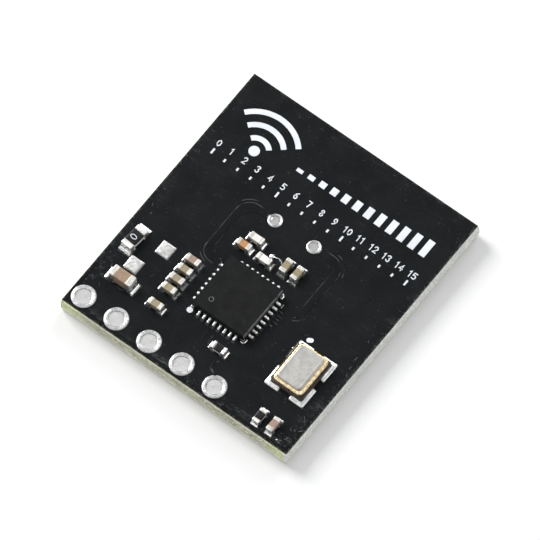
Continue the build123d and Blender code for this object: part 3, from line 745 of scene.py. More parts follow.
def moulding_finish():
    """Moulded black resin: a fine frosted grain with a few pale filler specks.

    A pale ring marks the lip of the round dimple, and a broken band high on the side to the right is painted
    paler, as painted reflection of the bright surroundings in that face."""
    f = Finish("moulded_resin")
    patches, grain = uneven(f, 1.5, 34.0)
    specks = f.span(f.noise(15.0, 4.0, 0.7), 0.60, 0.72)
    mottled = f.span(f.noise(2.4, 6.0, 0.75), 0.50, 0.66)
    base = f.mix(patches, (0.0055, 0.006, 0.0063), (0.0085, 0.009, 0.0094))
    base = f.over(base, mottled, 0.5, (0.014, 0.0145, 0.0145))
    base = f.over(base, specks, 0.45, (0.045, 0.045, 0.045))
    chip_x, chip_y = middle("chip_body")
    dimple = 1.15
    keys = {0: f.spot, 1: (chip_x - dimple, chip_y - dimple, 0.0)}
    apart = f.add("ShaderNodeVectorMath", keys, operation="SUBTRACT").outputs[0]
    flat = f.add("ShaderNodeVectorMath", {0: apart, 1: (1.0, 1.0, 0.0)}, operation="MULTIPLY").outputs[0]
    reach = f.add("ShaderNodeVectorMath", {0: flat}, operation="LENGTH").outputs["Value"]
    lip = f.between(reach, 0.10, 0.135, 0.15, 0.185)
    base = f.mix(f.times(lip, f.span(f.noise(3.0), 0.3, 0.6)), base, (0.20, 0.20, 0.205))
    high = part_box("chip_body")[1]
    side, top = high.x / MM, high.z / MM
    # painted reflection: a broken pale band on the upper part of the right side stands for the bright
    # surroundings mirrored there
    painted_reflection = f.times(f.span(f.axis(0), side - 0.05, side - 0.035), f.span(f.axis(2), top - 0.34, top - 0.28))
    painted_reflection = f.times(painted_reflection, f.span(f.noise(2.5, 4.0, 0.7), 0.30, 0.52))
    base = f.mix(painted_reflection, base, (0.16, 0.16, 0.165))
    f.bump(grain, 0.35, 0.008)
    f.shader.inputs["Specular IOR Level"].default_value = 0.082
    return f.set(Base_Color=base, Roughness=f.span(grain, 0.0, 1.0, 0.5, 0.62)).material


def glaze_finish():
    """Dark overglaze of a chip resistor, a little wavy."""
    f = Finish("dark_glaze")
    patches, grain = uneven(f, 2.5, 18.0)
    base = f.mix(patches, (0.006, 0.006, 0.007), (0.012, 0.012, 0.014))
    f.bump(patches, 0.3, 0.01)
    f.shader.inputs["Specular IOR Level"].default_value = 0.22
    return f.set(Base_Color=base, Roughness=f.span(grain, 0.0, 1.0, 0.2, 0.32)).material


def quartz_finish():
    """Polished quartz plate: clear, with a faint cloudiness."""
    f = Finish("quartz")
    patches, _ = uneven(f, 2.0, 20.0)
    f.shader.inputs["Transmission Weight"].default_value = 1.0
    f.shader.inputs["IOR"].default_value = 1.54
    base = f.mix(patches, (0.92, 0.94, 0.95), (0.97, 0.98, 0.99))
    return f.set(Base_Color=base, Roughness=f.span(patches, 0.0, 1.0, 0.02, 0.08)).material


MASK = black_mask("black_mask", False)
MASK_BACK = black_mask("black_mask_back", True)
RELIEF = relief_finish()
SCRATCH = scratch_finish()
LAMINATE = laminate_finish()
PRINT = print_finish()
TIN = metal_finish("tinned_copper", (0.42, 0.42, 0.42), (0.56, 0.56, 0.56), 0.20, 0.38, 14.0, 0.25, 0.5, True)
PAD_TIN = metal_finish("pad_tin", (0.47, 0.47, 0.465), (0.62, 0.62, 0.61), 0.24, 0.40, 6.0, 0.30, 0.7)
SOLDER = metal_finish("solder", (0.70, 0.70, 0.69), (0.96, 0.96, 0.95), 0.16, 0.40, 7.0, 0.8)
# painted light: a lighter copy of the solder for the chip's and crystal's joints, painted lighter to offset
# the shade they lie in beside those parts
LIGHTENED_SOLDER = metal_finish("solder_painted_lighter", (0.84, 0.84, 0.835), (0.96, 0.96, 0.955), 0.30, 0.48, 7.0, 0.15)
TINNED_END = metal_finish("tinned_line_end", (0.36, 0.35, 0.33), (0.50, 0.49, 0.47), 0.35, 0.5, 18.0, 0.2)
CAP_METAL = metal_finish(
    "end_metal", (0.38, 0.365, 0.335), (0.60, 0.58, 0.54), 0.38, 0.58, 16.0, 0.35, dulls_and_lights=True
)
LEAD = metal_finish("plated_lead", (0.50, 0.50, 0.49), (0.70, 0.70, 0.69), 0.35, 0.5, 20.0, 0.2)
COPPER = metal_finish("bare_copper", (0.62, 0.32, 0.19), (0.78, 0.44, 0.28), 0.28, 0.45, 18.0, 0.2)
GOLD = metal_finish("gold_plate", (0.52, 0.39, 0.20), (0.88, 0.75, 0.50), 0.26, 0.46, 6.0, 0.6, 0.5)
LID = metal_finish("nickel_lid", (0.345, 0.34, 0.322), (0.44, 0.43, 0.412), 0.36, 0.5, 18.0, 0.2, 0.8)
MOULDING = moulding_finish()
GLAZE = glaze_finish()
QUARTZ = quartz_finish()
DARK_CERAMIC = ceramic_finish("dark_ceramic", (0.030, 0.023, 0.018), (0.062, 0.046, 0.036), 24.0)
TAN = ceramic_finish("tan_ceramic", (0.20, 0.165, 0.10), (0.33, 0.28, 0.18))
BROWN = ceramic_finish("brown_ceramic", (0.21, 0.135, 0.088), (0.34, 0.235, 0.16))
PINK = ceramic_finish("pink_ceramic", (0.23, 0.155, 0.12), (0.35, 0.245, 0.195))
ORANGE = ceramic_finish("orange_ceramic", (0.33, 0.15, 0.055), (0.46, 0.235, 0.10))
WHITE_CERAMIC = ceramic_finish("white_ceramic", (0.62, 0.61, 0.58), (0.78, 0.77, 0.74))
ALUMINA = ceramic_finish("alumina", (0.66, 0.66, 0.64), (0.82, 0.82, 0.80), 36.0)


# ---------------------------------------------------------------- board


def board_edge():
    """The board's rim: its scored and snapped edge profile carried round the outline.

    The web in the middle is pitted inwards by ripples of three lengths, deepest where
    they agree, and the scored slopes only a little."""
    heights = np.concatenate(
        [
            np.linspace(BACK_DECK, BACK_DECK + SCORE, 7),
            np.linspace(BACK_DECK + SCORE, DECK - SCORE, 9)[1:-1],
            np.linspace(DECK - SCORE, DECK, 7),
        ]
    )
    low_part = (BACK_DECK + SCORE - heights) / SCORE
    high_part = (heights - (DECK - SCORE)) / SCORE
    inset = LEDGE * np.clip(np.maximum(low_part, high_part), 0, 1)
    inner = 0.45
    profile = np.concatenate([[(inner, BACK_DECK)], np.stack([inset, heights], -1), [(inner, DECK)]])
    size = (BOARD_X + 2 * LEDGE, BOARD_Y + 2 * LEDGE)
    points, faces = lofted(profile, *size, 0.06, closed=True, steps=3, side=210)
    x, y, z = points.T
    web = smoothed((z - 0.40) / 0.08) * smoothed((1.0 - z) / 0.08)
    torn = 0.5 + 0.5 * ripple(points * (1, 1, 2.5), 0.9, 5)
    frayed = 0.5 + 0.5 * ripple(points * (1, 1, 3.5), 0.28, 9)
    fine = 0.5 + 0.5 * ripple(points * (1, 1, 2.0), 0.12, 14)
    depth = web * (0.045 * torn + 0.045 * np.clip(frayed, 0, 1.2) + 0.015 * fine)
    depth = depth + (1 - web) * 0.010 * np.clip(frayed, 0, 1)
    rim = np.maximum(np.abs(x) - (HALF_BOARD_X - 0.2), np.abs(y) - (HALF_BOARD_Y - 0.2)) > 0
    depth = np.clip(np.where(rim, depth, 0), 0, 0.12)
    beside_x = np.abs(x) - HALF_BOARD_X > np.abs(y) - HALF_BOARD_Y
    points[:, 0] -= np.where(beside_x, np.sign(x) * depth, 0)
    points[:, 1] -= np.where(beside_x, 0, np.sign(y) * depth)
    return points, faces


def board_core():
    """The laminate's own faces and holes, with its outer walls drawn in under the rim."""
    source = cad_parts["board_laminate"].data
    count = len(source.vertices)
    points = np.zeros(count * 3)
    source.vertices.foreach_get("co", points)
    points = points.reshape(-1, 3) / MM
    corner = np.zeros(len(source.loops), int)
    source.loops.foreach_get("vertex_index", corner)
    merged, index = np.unique(np.round(points, 4), axis=0, return_inverse=True)
    faces = index.reshape(-1)[corner].reshape(-1, 3)
    keep = (faces[:, 0] != faces[:, 1]) & (faces[:, 1] != faces[:, 2]) & (faces[:, 0] != faces[:, 2])
    x, y, z = merged.T
    x = np.where(np.abs(x) > HALF_BOARD_X - 0.02, np.sign(x) * (HALF_BOARD_X - 0.3), x)
    y = np.where(np.abs(y) > HALF_BOARD_Y - 0.02, np.sign(y) * (HALF_BOARD_Y - 0.3), y)
    return np.stack([x, y, z], -1), [faces[keep]]


piece("glass_laminate", [board_edge(), board_core()], LAMINATE, ["board_laminate"], 60)


# ---------------------------------------------------------------- plated holes


def eyelet(hole, ring):
    """A tinned plated hole: a barrel with a rolled lip, a low dome of tin and a step at the ring's rim.

    The tin's height over the ring is a half sine between lip and rim, to the power 0.7, with
    three fine circular waves on it."""
    r_in, r_out = hole / 2, ring / 2
    share = np.linspace(0, 1, 30)
    radius = r_in + LIP + (r_out - r_in - LIP) * share
    bulge = np.sin(np.pi * share)
    dome = 0.010 * bulge ** 0.7 + 0.0035 * np.sin(share * 2 * np.pi * 3.0) * bulge
    turn = np.linspace(0, np.pi / 2, 5)[:-1]
    lip_r = r_in + LIP * (1 - np.cos(turn))
    lip_z = LIP * (1 - np.sin(turn))
    upper = np.stack([radius, LAND_TOP + dome], -1)
    upper_lip = np.stack([lip_r, LAND_TOP - lip_z], -1)
    lower = np.stack([radius[::-1], np.full_like(radius, BACK_LAND)], -1)
    lower_lip = np.stack([lip_r[::-1], BACK_LAND + lip_z[::-1]], -1)
    wall = r_in + 0.04
    outer = np.array([(r_out, DECK), (wall, DECK - 0.002), (wall, BACK_DECK + 0.002), (r_out, BACK_DECK)])
    return turned(np.concatenate([lower_lip, upper_lip, upper, outer, lower]))


def ring_tarnish(points, spot, hole, ring):
    """How dull each point of a plated hole is: in two thin circles, one at the lip and one inside the rim.

    Each circle is a bell curve of the distance from its radius, broken up by a ripple. The rim's own edge is
    dull all round, and the barrel's wall is freshly tinned."""
    reach = np.hypot(points[:, 0] - spot[0], points[:, 1] - spot[1])
    uneven_share = np.clip(0.6 + 0.5 * ripple(points, 0.6, 40 + int(10 * abs(spot[0]))), 0, 1)
    lip = np.exp(-(((reach - hole / 2 - LIP) / 0.022) ** 2))
    rim = np.exp(-(((reach - ring / 2 + 0.055) / 0.018) ** 2))
    edge = smoothed((reach - ring / 2 + 0.02) / 0.02)
    value = 0.85 * lip * uneven_share + 0.55 * rim * uneven_share + 0.6 * edge
    value = np.clip(np.where(points[:, 2] > DECK - 0.02, value, 0), 0, 1)
    return np.where((reach < hole / 2 + 0.01) & (points[:, 2] < LAND_TOP - 0.03), -1.0, value)


for number, node in enumerate(HEADER, 1):
    shape = roughened(placed(eyelet(HEADER_HOLE, HEADER_RING), middle(node)), 0.002, 0.5, number)
    dull = ring_tarnish(shape[0], middle(node), HEADER_HOLE, HEADER_RING)
    piece(node.replace("eyelet", "ring"), [shape], TIN, [node], tarnish_and_painted_light=dull)

# The feed-throughs, the left one with a short tab of bare tin beside its ring
VIA_X, VIA_Y = 1.5, middle("antenna_via_right")[1]
for side, name in ((-1, "left"), (1, "right")):
    spot = (side * VIA_X, VIA_Y)
    shapes = [placed(eyelet(FEED_HOLE, FEED_RING), spot)]
    if side < 0:
        tab_x = side * (VIA_X + FEED_RING / 2)
        x, y, inside = pad_grid(0.16, 0.15, 0.05, 8, 8)
        shapes.append(cushion(x + tab_x + 0.06, y + VIA_Y, (LAND_TOP - DECK) * smoothed(inside / 0.04)))
    dull = np.concatenate([ring_tarnish(points, spot, FEED_HOLE, FEED_RING) for points, _ in shapes])
    piece(f"feed_through_{name}", shapes, TIN, [f"antenna_via_{name}"], tarnish_and_painted_light=dull)


# ---------------------------------------------------------------- small parts


def case_of(length, width, height, band, under, reach, margin):
    """A case size: its length, width and height, and how long a metal band is.

    Under and reach say how far its solder runs under the part and out from its end, and
    margin how far it runs out at the sides."""
    return {
        "length": length, "width": width, "height": height, "band": band,
        "under": under, "reach": reach, "margin": margin,
    }


SMALL = case_of(1.0, 0.5, 0.5, 0.26, 0.3, 0.2, 0.05)
LARGE = case_of(1.6, 0.8, 0.85, 0.37, 0.42, 0.33, 0.07)
SMALL_CHIP = dict(SMALL, height=0.35, band=0.22)
LARGE_CHIP = dict(LARGE, height=0.45, band=0.33)

# Name, case, turn, finish and record slot of each small part
CAPPED = [
    ("decoupling_capacitor_1", SMALL, 0, PINK, "pink_ceramic"),
    ("decoupling_capacitor_2", SMALL, 0, TAN, "tan_ceramic"),
    ("decoupling_capacitor_3", SMALL, 0, TAN, "tan_ceramic"),
    ("decoupling_capacitor_4", SMALL, 0, TAN, "tan_ceramic"),
    ("output_capacitor", SMALL, 0, TAN, "tan_ceramic"),
    ("supply_capacitor", LARGE, 0, BROWN, "brown_ceramic"),
    ("reset_capacitor", SMALL, 90, PINK, "pink_ceramic"),
    ("filter_inductor_1", SMALL, 0, WHITE_CERAMIC, "white_ceramic"),
    ("filter_inductor_2", SMALL, 0, WHITE_CERAMIC, "white_ceramic"),
    ("tuning_capacitor", SMALL, 0, ORANGE, "orange_ceramic"),
    ("filter_capacitor_1", SMALL, 90, TAN, "tan_ceramic"),
    ("filter_capacitor_2", SMALL, 90, TAN, "tan_ceramic"),
]

# Name, case, turn and further skew of each chip resistor
CHIP_RESISTORS = [
    ("jumper_resistor", LARGE_CHIP, 90, -5),
    ("bias_resistor", SMALL_CHIP, 0, 0),
    ("pull_up_resistor", SMALL_CHIP, 90, 0),
]


def end_cap(case, side, soft):
    """One dipped metal end: the part's section carried along its axis.

    It swells from the band's edge and is rounded at the end face, with a radius of soft."""
    inner = case["length"] / 2 - case["band"]
    outer = case["length"] / 2
    start = [(0.06, inner + 0.004), (0.016, inner), (0.006, inner + 0.012), (0.0, inner + 0.04)]
    middle_part = np.stack([np.full(4, 0.002), np.linspace(inner + 0.07, outer - soft - 0.01, 4)], -1)
    flat = [(soft + 0.06, outer), (soft + 0.14, outer)]
    profile = np.concatenate([start, middle_part, shoulder(soft, outer, 6), flat])
    points, faces = lofted(profile, case["width"], case["height"], soft, steps=4, side=4)
    return points * (1, 1, side), faces


def end_shine(points, case, spot, turn):
    """How much each point of a part's metal ends is painted brighter: bright on the end faces, as painted
    light on faces that lie in shade.

    The value is -1 at the end face and climbs to 0 as a smooth step, which lies from 0.01 to
    0.07 mm inside that face."""
    angle = math.radians(turn)
    along = (points[:, 0] - spot[0]) * math.cos(angle) + (points[:, 1] - spot[1]) * math.sin(angle)
    return -smoothed((np.abs(along) - case["length"] / 2 + 0.07) / 0.06)


def ceramic_block(case, gap):
    """The ceramic between the ends: a soft-edged section a little thinner than the ends, gently waisted."""
    run = case["length"] / 2 - case["band"] + 0.03
    along = np.linspace(-run, run, 13)
    waist = gap + 0.004 * np.cos(along / run * np.pi / 2)
    profile = np.concatenate([[(0.12, -run - 0.001)], np.stack([waist, along], -1), [(0.12, run + 0.001)]])
    return lofted(profile, case["width"], case["height"], 0.035, steps=3, side=5)


def solder_pad(case, part_turn, spot, side, seed, climb):
    """Solder on one pad: a thin cushion that climbs to the metal end in a hollow slope.

    Height = film that swells from the pad's edge + climb * the part's height * (1 - distance to
    the metal end / 0.9 reach) ^ 2.4, and both sink to nothing at the edge. Ripples of two
    lengths vary the whole."""
    half_x = (case["under"] + case["reach"]) / 2
    half_y = case["width"] / 2 + case["margin"]
    x, y, inside = pad_grid(half_x, half_y, 0.06, 26, 22)
    wall = half_x - case["reach"]
    from_end = np.hypot(np.maximum(x - wall, 0), np.maximum(np.abs(y) - case["width"] / 2 + 0.02, 0))
    under = np.exp(-((np.maximum(wall - case["band"] * 0.75 - x, 0) / 0.04) ** 2))
    slope = np.clip(1 - from_end / (case["reach"] * 0.9), 0, 1) ** 2.4
    foot = smoothed((inside + 0.01) / 0.07)
    height = (LAND_TOP - DECK + 0.012) * swell(inside, 0.022) + climb * case["height"] * slope * under * foot
    height = height * (1 + 0.06 * flat_ripple(x, y, 0.45, seed) + 0.05 * flat_ripple(x, y, 0.17, seed + 3))
    centre = case["length"] / 2 + (case["reach"] - case["under"]) / 2
    shape = placed(cushion(x, y, height), (centre, 0, 0))
    shape = placed(shape, (0, 0, 0), 0 if side > 0 else 180)
    return placed(shape, (*spot, 0), part_turn)


def flowed(case, turn, side):
    """The case with the reach that its solder has at one end.

    It is longer at the left end of a part that lies along X, and at the far end of one that
    lies along Y, where more of it has run out."""
    longer = (side < 0) == (turn == 0)
    return dict(case, reach=case["reach"] * (1.12 if longer else 0.80))


solder_shapes = []

# Each part's ripples have seeds of their own, counted on from the first
FIRST_SEED, SIDE_SEEDS = 100, 7
PART_SEEDS = 2 * SIDE_SEEDS


def metal_ends(name, case, turn, skew, lift, caps, rough, climb, seed):
    """Makes the piece of a part's two metal ends from their caps, and the solder beside them.

    The solder is skewed half as far as the part. Rough is the ripple's amount and wavelength."""
    spot = middle(f"{name}_terminals")
    ends = []
    for side, cap in zip((-1, 1), caps):
        seed += SIDE_SEEDS
        ends.append(placed(roughened(laid(cap), *rough, seed), (*spot, lift), turn + skew))
        solder_shapes.append(solder_pad(flowed(case, turn, side), turn + skew * 0.5, spot, side, seed, climb))
    # painted light: the end faces of the metal ends are painted brighter, since they lie in shade
    painted_end_light = np.concatenate([end_shine(points, case, spot, turn + skew) for points, _ in ends])
    piece(f"{name}_ends", ends, CAP_METAL, [f"{name}_terminals"], 50, painted_end_light)
    return spot


for number, (name, case, turn, finish, slot) in enumerate(CAPPED):
    seed = FIRST_SEED + PART_SEEDS * number
    lift = SEAT + case["height"] / 2 - 0.008
    caps = [end_cap(case, side, 0.055 if case is SMALL else 0.08) for side in (-1, 1)]
    spot = metal_ends(name, case, turn, 0, lift, caps, (0.004, 0.35), 0.42, seed)
    block = roughened(laid(ceramic_block(case, 0.02)), 0.003, 0.25, seed + PART_SEEDS + 50)
    piece(f"{name}_ceramic", [placed(block, (*spot, lift), turn)], finish, [f"{name}_body"], 50)


def resistor_slab(case):
    """The white slab: an even rounded section along the part, square at its ends."""
    run = case["length"] / 2 - 0.02
    half = [(0.004, run - 0.012), (0.012, run), (0.1, run + 0.001)]
    profile = [(inset, -along) for inset, along in half[::-1]] + [(0.0, 0.0)] + half
    return lofted(profile, case["width"], case["height"] - 0.04, 0.02, steps=2, side=4)


def resistor_end(case, side):
    """A folded metal end: over the top, round the end face and under, with soft folds."""
    inner = case["length"] / 2 - case["band"]
    outer = case["length"] / 2
    soft = 0.035
    start = [(0.05, inner + 0.002), (0.006, inner), (0.0, inner + 0.015)]
    profile = np.concatenate([start, shoulder(soft, outer, 5), [(soft + 0.05, outer)]])
    points, faces = lofted(profile, case["width"], case["height"], 0.02, steps=3, side=4)
    return points * (1, 1, side), faces


def glaze_pillow(case):
    """The dark glaze: a low cushion with soft edges. It laps a little over the slab's sides and reaches down
    them, where its dark is painted shade, since the sides lie in shade.
    """
    half_x = case["length"] / 2 - case["band"] - 0.01
    # painted shade: the glaze is a little wider than the slab so that it covers its sides
    half_y = case["width"] / 2 + 0.004
    x, y, inside = pad_grid(half_x, half_y, 0.04, 18, 14)
    rise = 0.028 * swell(inside, 0.03) + 0.006 * np.cos(y / half_y * np.pi / 2)
    top = SEAT + case["height"] - 0.02 + rise
    # its floor lies low so that the dark glaze covers the upper sides as painted shade
    return backed(np.stack([x, y, top], -1), SEAT + case["height"] - 0.12)


glaze_and_side_shade_shapes = []
for number, (name, case, turn, skew) in enumerate(CHIP_RESISTORS, len(CAPPED)):
    seed = FIRST_SEED + PART_SEEDS * number
    lift = SEAT + case["height"] / 2
    caps = [resistor_end(case, side) for side in (-1, 1)]
    spot = metal_ends(name, case, turn, skew, lift, caps, (0.003, 0.3), 0.60, seed)
    slab = placed(laid(resistor_slab(case)), (*spot, lift), turn + skew)
    piece(f"{name}_slab", [slab], ALUMINA, [f"{name}_body"], 50)
    glaze_and_side_shade_shapes.append(placed(glaze_pillow(case), (*spot, 0), turn + skew))
piece("resistor_glaze", glaze_and_side_shade_shapes, GLAZE, ["resistor_glazes"])

# The plain zero on the jumper resistor
_, _, jumper_turn, jumper_skew = CHIP_RESISTORS[0]
zero_x, zero_y = np.array(middle("jumper_resistor_terminals")) + (-0.03, -0.04)
zero_top = SEAT + LARGE_CHIP["height"] + 0.0145
zero = ribbon(circle(40) * (0.13, 0.215), 0.048, zero_top - 0.02, zero_top, closed=True)
piece("jumper_zero", [placed(zero, (zero_x, zero_y, 0), jumper_skew + jumper_turn)], PRINT)


# ---------------------------------------------------------------- bare pads, link and specks


def tin_cushion(half_x, half_y, corner, crown, rows=20, seed=0):
    """A tinned pad: flat copper under a low crown of tin that rounds off at the edge."""
    x, y, inside = pad_grid(half_x, half_y, corner, rows, rows)
    edge = swell(inside, 0.02)
    bulge = crown * (1 - (x / half_x) ** 2) * (1 - (y / half_y) ** 2)
    height = (LAND_TOP - DECK) * edge + bulge
    return cushion(x, y, height + 0.003 * edge * flat_ripple(x, y, 0.5, seed))


BARE_PADS = [(-5.68, -3.22), (-6.63, -5.21)]
pads = [placed(tin_cushion(0.5, 0.5, 0.04, 0.02, seed=k), (*spot, 0)) for k, spot in enumerate(BARE_PADS)]

LINK = np.array([(-0.2, 0.385), (0.02, 0.47), (0.3, 0.525), (0.5, 0.46), (0.66, 0.325)])


def link_shapes():
    """The bare link: a round blob of tin, a thin bent strip and a short spur."""
    radius = np.linspace(0.0, 0.17, 9)[1:]
    dome = DECK + (MASK_TOP + 0.07 - DECK) * np.sqrt(np.maximum(1 - (radius / 0.17) ** 2.4, 0))
    rings = lifted(radius[::-1, None, None] * circle(28), dome[::-1])
    blob = placed(capped(rings), (*LINK[0], 0))
    strip = ridge(rounded_path(LINK, 0.12, 5), 0.09, 0.062, DECK, 0.03, 9)
    spur = ridge(np.array([(-0.2, 0.42), (-0.16, 0.52), (-0.12, 0.62)]), 0.07, 0.055, DECK, 0.03, 9)
    return [blob, strip, spur]


def speck(x, y, radius, height, sides, turn):
    """A small splash of tin: a low dome whose outline swells in a few lobes."""
    steps = 24
    angle = np.arange(steps) * 2 * np.pi / steps
    reach = radius * (1 + 0.18 * np.cos(sides * angle + turn))
    share = np.array([1.0, 0.85, 0.6, 0.3])
    flat = share[:, None, None] * reach[None, :, None] * circle(steps)
    z = MASK_TOP - 0.01 + (height + 0.01) * np.sqrt(1 - (share * 0.995) ** 2)
    return placed(capped(lifted(flat, z)), (x, y, 0))


# Small pools of tin round three of the chip's corners, as paths on the board
CORNER_TIN = [
    [(1.72, -1.25), (2.07, -1.25), (2.07, -1.62)],
    [(2.07, -5.04), (2.07, -5.41), (1.80, -5.41)],
    [(-2.07, -5.12), (-2.07, -5.41), (-1.90, -5.41)],
]

# Place, radius, height, number of lobes and their turn, in radians, of each splash
SPECKS = [
    (4.64, -3.8, 0.06, 0.03, 2, 0.0),
    (1.65, -0.37, 0.09, 0.03, 3, 0.5),
    (-3.72, 1.08, 0.04, 0.02, 2, 1.0),
    (7.62, -9.36, 0.05, 0.02, 2, 0.3),
]
specks = [speck(*values) for values in SPECKS]
specks += [ridge(rounded_path(path, 0.12, 5), 0.10, 0.06, MASK_TOP - 0.005, 0.04, 9) for path in CORNER_TIN]
piece("bare_pads", pads, PAD_TIN)
piece("matching_tin", link_shapes(), SOLDER, ["matching_link"])
piece("tin_specks", specks, SOLDER)

# ---------------------------------------------------------------- chip

CHIP_X, CHIP_Y = middle("chip_body")
LEAD_PITCH, LEADS_A_SIDE = 0.4, 8
OUTER_LEAD = (LEADS_A_SIDE - 1) / 2

# From the chip's middle: where the leads' solder starts, its crest, and its end on each of the four sides
JOINT_START, JOINT_CREST = 1.60, 1.97
JOINT_ENDS = [2.30, 2.405, 2.375, 2.28]


def lead_joint(quarter, index, seed):
    """Solder on one lead's land: a narrow cushion with a crest where it meets the lead's end face."""
    uneven_end = 0.02 * math.sin(2.3 * index + quarter)
    half_x, half_y = (JOINT_ENDS[quarter] + uneven_end - JOINT_START) / 2, 0.094
    x, y, inside = pad_grid(half_x, half_y, 0.09, 22, 11)
    edge = swell(inside, 0.018)
    past = x + JOINT_START + half_x - JOINT_CREST
    climb = 0.05 * np.exp(-np.maximum(past, 0) / 0.07) * smoothed((past + 0.2) / 0.15)
    height = (LAND_TOP - DECK + 0.02) * edge + climb * edge
    height = height * (1 + 0.08 * flat_ripple(x, y, 0.25, seed))
    offset = (index - OUTER_LEAD) * LEAD_PITCH
    shape = placed(cushion(x, y, height), (JOINT_START + half_x, offset, 0))
    return placed(shape, (CHIP_X, CHIP_Y, 0), quarter * 90)


leads_seed = FIRST_SEED + PART_SEEDS * (len(CAPPED) + len(CHIP_RESISTORS)) + 1
chip_joints = [
    lead_joint(quarter, index, leads_seed + LEADS_A_SIDE * quarter + index)
    for quarter in range(4)
    for index in range(LEADS_A_SIDE)
]
chip_joints.append(placed(tin_cushion(1.3, 1.3, 0.05, 0.0, 12), (CHIP_X, CHIP_Y, 0)))
piece("chip_joints", chip_joints, LIGHTENED_SOLDER, ["chip_solder"])

# ---------------------------------------------------------------- crystal

CRYSTAL_X, CRYSTAL_Y = middle("crystal_base")
CRYSTAL_HALF_X, CRYSTAL_HALF_Y = 1.25, 1.6
RING_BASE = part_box("crystal_base")[1].z / MM
RING_HEIGHT, LID_HEIGHT = 0.27, 0.12
LID_BASE = RING_BASE + RING_HEIGHT
RING_X, RING_Y = 2.22, 3.04
LID_X, LID_Y = RING_X - 0.34, RING_Y - 0.34
LID_SHIFT = (-0.055, 0.03)

# How far the crystal's solder runs out from the base's walls, and how far at its far left corner
JOINT_REACH, FAR_CORNER_REACH = 0.24, 0.14


def crystal_lid_shape():
    """The pressed lid: rounded rim, a shallow step inside it and an almost level middle."""
    top = LID_BASE + LID_HEIGHT
    inner = [(0.15, top), (0.19, top - 0.004), (0.26, top - 0.006), (0.45, top - 0.004), (0.75, top - 0.003)]
    profile = np.concatenate([[(0.3, LID_BASE), (0.0, LID_BASE)], shoulder(0.11, top, 7), inner])
    return lofted(profile, LID_X, LID_Y, 0.26, steps=8, side=8)


def seal_ring_shape():
    """The gold ring: a tall band with a rounded shoulder outside, level under the lid."""
    rest = [(0.12, LID_BASE), (0.38, LID_BASE), (0.38, RING_BASE)]
    profile = np.concatenate([[(0.0, RING_BASE)], shoulder(0.07, LID_BASE, 6), rest])
    return lofted(profile, RING_X, RING_Y, 0.3, closed=True, steps=8, side=8)


spot = (CRYSTAL_X, CRYSTAL_Y, 0)
lid_spot = (CRYSTAL_X + LID_SHIFT[0], CRYSTAL_Y + LID_SHIFT[1], 0)
piece("crystal_cap", [placed(crystal_lid_shape(), lid_spot)], LID, ["crystal_lid"])
piece("crystal_gold_ring", [placed(seal_ring_shape(), spot)], GOLD, ["crystal_seal_ring"])


def crystal_joint(side_x, side_y, seed):
    """Solder on one crystal pad: a cushion that climbs the base's two nearest walls."""
    half_x, half_y = 0.55, 0.75
    x, y, inside = pad_grid(half_x, half_y, 0.08, 26, 30)
    wall_x, wall_y = half_x - JOINT_REACH, half_y - JOINT_REACH
    past = np.hypot(np.maximum(x - wall_x, 0), np.maximum(y - wall_y, 0))
    near_x = np.exp(-((np.minimum(x - wall_x, 0) / 0.12) ** 2))
    near_y = np.exp(-((np.minimum(y - wall_y, 0) / 0.12) ** 2))
    beside = np.maximum(near_x, near_y)
    climb = 0.09 * np.exp(-past / 0.06) * beside
    height = ((LAND_TOP - DECK + 0.02) + climb) * swell(inside, 0.03)
    height = height * (1 + 0.08 * flat_ripple(x, y, 0.5, seed))
    reach_x = FAR_CORNER_REACH if side_x < 0 < side_y else JOINT_REACH
    centre_x = CRYSTAL_X + side_x * (CRYSTAL_HALF_X + reach_x - half_x)
    centre_y = CRYSTAL_Y + side_y * (CRYSTAL_HALF_Y + JOINT_REACH - half_y)
    return cushion(x * side_x + centre_x, y * side_y + centre_y, height)


crystal_joints = [crystal_joint(a, b, 300 + 5 * a + b) for a in (-1, 1) for b in (-1, 1)]
piece("crystal_joints", crystal_joints, LIGHTENED_SOLDER, ["crystal_solder"])
piece("part_joints", solder_shapes, SOLDER, ["passive_solder", "component_lands"])

# ---------------------------------------------------------------- relief under the mask

feed_end_y = CHIP_Y + OUTER_LEAD * LEAD_PITCH

# The two feed lines, with a narrow ridge along each side of both of their bends
feeds = []
for side, start in ((-1, 2.08), (1, 2.02)):
    corners = [(start, VIA_Y), (3.7, VIA_Y), (3.7, feed_end_y), (2.46, feed_end_y)]
    path = rounded_path(np.array(corners) * (side, 1), (1.25, 0.9), 20)
    feeds.append(ridge(path, 0.56, 0.026, RELIEF_BASE, 0.08, 15))
    beside = path_frame(path)[1]
    for arc in (slice(2, 21), slice(23, 42)):
        for gap in (-0.45, 0.47):
            feeds.append(ridge(path[arc] + beside[arc] * gap, 0.13, 0.007, RELIEF_BASE, 0.05, 7))

# Short ridges over other traces, as paths on the board
TRACES = [
    [(-2.42, -1.95), (-2.6, -1.8), (-2.6, -1.55)],
    [(-2.42, -2.95), (-2.95, -2.95)],
    [(-2.42, -3.55), (-2.7, -3.6)],
    [(4.0, -3.5), (4.3, -3.78)],
    [(4.1, -3.9), (4.5, -3.8)],
    [(-0.2, -5.8), (-0.2, -6.6), (0.0, -6.9)],
    [(0.2, -5.8), (0.25, -6.5), (0.45, -7.0)],
    [(1.75, -7.1), (1.4, -7.5), (1.45, -7.95), (2.0, -8.2)],
    [(-8.25, -2.5), (-7.0, -2.5)],
    [(-7.1, -7.0), (-5.9, -7.1), (-5.7, -6.95)],
    [(-0.3, 0.72), (0.7, 0.7)],
]
traces = [ridge(rounded_path(points, 0.2, 4), 0.17, 0.012, RELIEF_BASE, 0.05, 7) for points in TRACES]
piece("trace_relief", feeds + traces, RELIEF)

# ---------------------------------------------------------------- scratches in the mask

